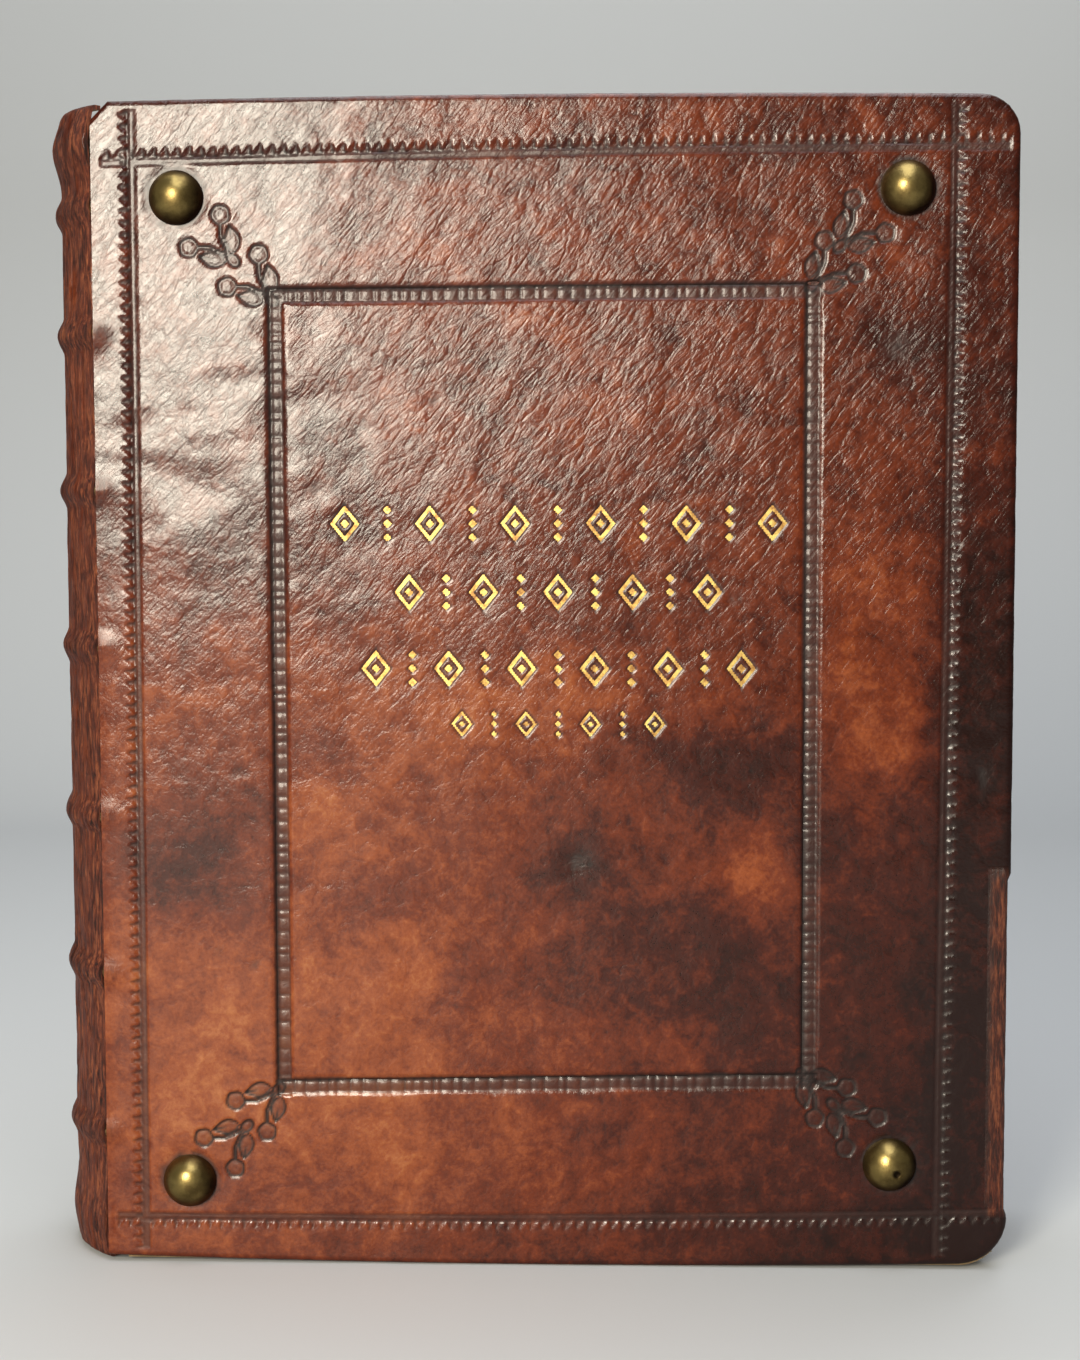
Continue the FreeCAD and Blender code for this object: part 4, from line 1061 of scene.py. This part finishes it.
# Brass with a low shine and a dark brown patina where hands and cloths never reach, at the rim. Painted
# shade also darkens each dome toward its lower right.
brass = new_material("cast_brass_patinated")
place = (add(brass, "TexCoord"), "Object")
dirt = add(brass, "Attribute", {"attribute_name": "dirt"})
bloom = add(brass, "TexNoise", {"Scale": 260.0, "Detail": 6.0, "Roughness": 0.65},
            {"Vector": place})
patina_film_and_shade = add(brass, "Math", {"operation": "MULTIPLY_ADD", 1: 0.55}, {0: bloom, 2: (dirt, "Fac")})
colour = add(brass, "ValToRGB", {"stops": [(0.22, "#a8935a"), (0.42, "#74623a"), (0.75, "#2a2114")]},
             {0: patina_film_and_shade})
rough = add(brass, "MapRange", {"From Max": 1.0, "To Min": 0.27, "To Max": 0.55}, {"Value": patina_film_and_shade})
scuffs = add(brass, "TexNoise", {"Scale": 900.0, "Detail": 3.0}, {"Vector": place})
bump = add(brass, "Bump", {"Strength": 0.25, "Distance": 0.0002}, {"Height": scuffs})
shader = add(brass, "BsdfPrincipled", {"Metallic": 0.9},
             {"Base Color": colour, "Roughness": rough, "Normal": bump})
add(brass, "OutputMaterial", {}, {"Surface": shader})

for name, (place_x, place_z) in zip(boss_names, boss_places):
    x = cover_low.x + place_x
    dome = bmesh.new()
    profile = [(0, BOARD_INSIDE), (SHANK_RADIUS, BOARD_INSIDE), (SHANK_RADIUS, 0), (BOSS_RADIUS, 0),
               (BOSS_RADIUS, -BOSS_RIM), (0, -BOSS_HEIGHT)]
    points = [dome.verts.new((out, deep, 0)) for out, deep in profile]
    for first, last in zip(points, points[1:]):
        dome.edges.new((first, last))
    rise = (BOSS_RADIUS ** 2 + (BOSS_HEIGHT - BOSS_RIM) ** 2) / (2 * (BOSS_HEIGHT - BOSS_RIM))
    arc = bmesh.ops.subdivide_edges(dome, edges=[dome.edges.get(points[4:])], cuts=DOME_CUTS)
    for vert in verts_of(arc["geom_inner"]):
        vert.co.y = (rise - BOSS_HEIGHT) - math.sqrt(rise * rise - vert.co.x ** 2)
    bmesh.ops.spin(dome, geom=dome.verts[:] + dome.edges[:], cent=(0, 0, 0), axis=(0, 1, 0),
                   angle=math.tau, steps=DOME_STEPS, use_merge=True)
    bmesh.ops.remove_doubles(dome, verts=dome.verts, dist=0.01)
    bmesh.ops.recalc_face_normals(dome, faces=dome.faces)
    patina_and_shade_values = []
    for vert in dome.verts:
        away = math.hypot(vert.co.x, vert.co.z)
        uneven = 0.12 * noise.noise((vert.co.x / 5 + place_x, 0, vert.co.z / 5 + place_z))
        if vert.co.y < -BOSS_RIM - 0.3:
            vert.co.y += 0.6 * uneven
        rim_dirt = ease(np.float64(away), 4.5, BOSS_RADIUS)
        # Painted shade: each dome is darker toward its lower right, the side away from the light.
        lower = 0.12 * (vert.co.x - vert.co.z) / BOSS_RADIUS
        patina_and_painted_shade = 0.34 * rim_dirt + lower + 1.2 * uneven
        if name == "boss_tail_fore" and vert.co.y < 0:
            pit = math.hypot(vert.co.x - NAIL_PIT[0], vert.co.z - NAIL_PIT[1]) / NAIL_PIT_RADIUS
            vert.co.y += NAIL_PIT_DEPTH * math.exp(-pit ** 4)
            patina_and_painted_shade += 0.6 * math.exp(-pit ** 4)
        patina_and_shade_values.append(float(patina_and_painted_shade))
    bmesh.ops.translate(dome, verts=dome.verts, vec=(x, front_face, place_z))
    piece = make_piece(dome, name + "_dome", brass, 50)
    give(piece.data, "dirt", patina_and_shade_values)
    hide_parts(name)
    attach(piece, "front_cover")

# Gilt ornament
# Gold leaf laid on glair and pressed in with warm tools, so that it lies in the bottom of each
# mark. Handling has rubbed it thin, and the leather shows through.

GOLD_THICKNESS = 0.12
GOLD_PROUD = 0.06
GILT_HOLE = 0.68
GILT_LONGEST = 2.5

# Bright and metallic where the leaf is whole, brown and dull where the leather shows through.
gold = new_material("rubbed_gold_leaf")
place = (add(gold, "TexCoord"), "Object")
rubbing = add(gold, "TexNoise", {"Scale": 330.0, "Detail": 6.0, "Roughness": 0.7},
              {"Vector": place})
colour = add(gold, "ValToRGB", {"stops": [(0.30, "#8a5424"), (0.42, "#c99a52"), (0.56, "#ecd27c")]},
             {0: rubbing})
metal = add(gold, "MapRange", {"From Min": 0.3, "From Max": 0.5, "To Min": 0.1, "To Max": 0.75},
            {"Value": rubbing})
bump = add(gold, "Bump", {"Strength": 0.5, "Distance": 0.0002}, {"Height": rubbing})
shader = add(gold, "BsdfPrincipled", {"Roughness": 0.42},
             {"Base Color": colour, "Metallic": metal, "Normal": bump})
add(gold, "OutputMaterial", {}, {"Surface": shader})

leaf = bmesh.new()
flat = Matrix.Rotation(math.pi / 2, 4, "X")
for place, level, scale, lozenge in gilt_motifs():
    dot = GILT_DOT * scale
    rise = GILT_HALF_HEIGHT * scale - dot
    for centre in (0,) if lozenge else (-rise, 0, rise):
        bmesh.ops.create_circle(leaf, cap_ends=True, segments=4, radius=dot,
                                matrix=Matrix.Translation((place, 0, level + centre)) @ flat)
    if lozenge:
        rails = []
        for inside in (1, GILT_HOLE):
            half_width = GILT_HALF_WIDTH * scale * inside
            half_height = GILT_HALF_HEIGHT * scale * inside
            stretch = Matrix.Diagonal((half_width, half_height, 1, 1))
            made = bmesh.ops.create_circle(leaf, cap_ends=False, segments=4, radius=1.0,
                                           matrix=Matrix.Translation((place, 0, level)) @ flat @ stretch)
            rails += dict.fromkeys(edge for vert in made["verts"] for edge in vert.link_edges)
        bmesh.ops.bridge_loops(leaf, edges=rails)
long_edges = [edge for edge in leaf.edges if edge.calc_length() > GILT_LONGEST]
bmesh.ops.subdivide_edges(leaf, edges=long_edges, cuts=3, use_grid_fill=True)
bmesh.ops.reverse_faces(leaf, faces=[face for face in leaf.faces if face.normal.y > 0])
bmesh.ops.solidify(leaf, geom=leaf.faces[:], thickness=GOLD_THICKNESS)
spots = np.array([vert.co for vert in leaf.verts])
rise = front_relief(spots[:, 0], spots[:, 2])[0]
for vert, lift in zip(leaf.verts, rise):
    vert.co = (cover_low.x + vert.co.x, front_face + vert.co.y - lift - GOLD_PROUD, vert.co.z)
gilding = make_piece(leaf, "gold_leaf", gold, 50)
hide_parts("gilt_tooling")
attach(gilding, "front_cover")

# Floor and light
# A pale table and backdrop in one sweep, duller to the book than to the camera, so that it throws
# little haze on the leather. A window-like lamp to the left puts the sheen on the upper left.

TABLE_LEFT = -4
TABLE_WIDTH = 8
TABLE_FRONT = -3
TABLE_BACK = 1.4
BACKDROP_TOP = 3
SWEEP_RADIUS = 0.5
KEY = (-0.39, -1.3, 0.54)
KEY_AIM = (-0.06, -0.03, 0.24)
KEY_SIZE = (0.33, 0.58)
KEY_POWER = 18.5
WORLD_STRENGTH = 0.09

table = new_material("painted_table")
path = add(table, "LightPath")
seen = add(table, "Mix", {"data_type": "RGBA", 6: linear("#8d8f90"), 7: linear("#dfe4e6")},
           {0: (path, "Is Camera Ray")})
shader = add(table, "BsdfPrincipled", {"Roughness": 0.6}, {"Base Color": (seen, 2)})
add(table, "OutputMaterial", {}, {"Surface": shader})
sweep = bmesh.new()
rim = ((TABLE_FRONT, 0), (TABLE_BACK, 0), (TABLE_BACK, BACKDROP_TOP))
ends = [sweep.verts.new((TABLE_LEFT, y, z)) for y, z in rim]
for first, last in zip(ends, ends[1:]):
    sweep.edges.new((first, last))
bmesh.ops.bevel(sweep, geom=ends[1:2], offset=SWEEP_RADIUS, offset_type="OFFSET", segments=24,
                affect="VERTICES", profile=0.5, material=-1)
across = bmesh.ops.extrude_edge_only(sweep, edges=sweep.edges[:])["geom"]
bmesh.ops.translate(sweep, verts=verts_of(across), vec=(TABLE_WIDTH, 0, 0))
bmesh.ops.recalc_face_normals(sweep, faces=sweep.faces)
mesh = bpy.data.meshes.new("backdrop")
for face in sweep.faces:
    face.smooth = True
sweep.to_mesh(mesh)
sweep.free()
mesh.materials.append(table)
backdrop = bpy.data.objects.new("backdrop", mesh)
bpy.context.scene.collection.objects.link(backdrop)
backdrop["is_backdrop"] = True


def add_lamp(name, spot, aim, across, up, power, colour):
    """A softbox of a width and a height in metres, turned to face a spot."""
    lamp = bpy.data.lights.new(name, "AREA")
    lamp.shape = "RECTANGLE"
    lamp.size = across
    lamp.size_y = up
    lamp.energy = power
    lamp.color = linear(colour)[:3]
    holder = bpy.data.objects.new(name, lamp)
    holder.location = spot
    holder.rotation_euler = (Vector(aim) - Vector(spot)).to_track_quat("-Z", "Y").to_euler()
    bpy.context.scene.collection.objects.link(holder)


add_lamp("key_lamp", KEY, KEY_AIM, *KEY_SIZE, KEY_POWER, "#fff5e2")
add_lamp("top_lamp", (0.1, -0.35, 1.7), (0.0, -0.35, 0.0), 2.4, 0.9, 19.0, "#fbfbff")
add_lamp("back_lamp", (0.2, 0.75, 1.9), (0.0, 1.2, 0.2), 2.4, 0.6, 7.0, "#ffffff")

world = bpy.data.worlds.new("studio")
world.use_nodes = True
world.node_tree.nodes["Background"].inputs["Color"].default_value = linear("#e6e4e0")
world.node_tree.nodes["Background"].inputs["Strength"].default_value = WORLD_STRENGTH
bpy.context.scene.world = world
bpy.context.scene.view_settings.view_transform = "Standard"

# Camera
# It stands 0.7 m from the cover, a little to the right, and looks slightly down at the book's middle.
# Its angles and lens are those that put the cover's corners where the photograph has them.

AZIMUTH = math.radians(2.198)
ELEVATION = math.radians(4.439)
ROLL = math.radians(-0.131)
DISTANCE = 0.7
LENS = 62.1
SENSOR = 36
target = Vector((0.0050, front_face * MM, 0.1788))

camera_data = bpy.data.cameras.new("camera")
camera_data.lens = LENS
camera_data.sensor_width = SENSOR
camera = bpy.data.objects.new("camera", camera_data)
back = Vector((math.sin(AZIMUTH) * math.cos(ELEVATION), -math.cos(AZIMUTH) * math.cos(ELEVATION),
               math.sin(ELEVATION)))
camera.location = target + back * DISTANCE
turn = (-back).to_track_quat("-Z", "Y").to_matrix().to_4x4() @ Matrix.Rotation(ROLL, 4, "Z")
camera.rotation_euler = turn.to_euler()
bpy.context.scene.collection.objects.link(camera)
bpy.context.scene.camera = camera

low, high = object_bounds()
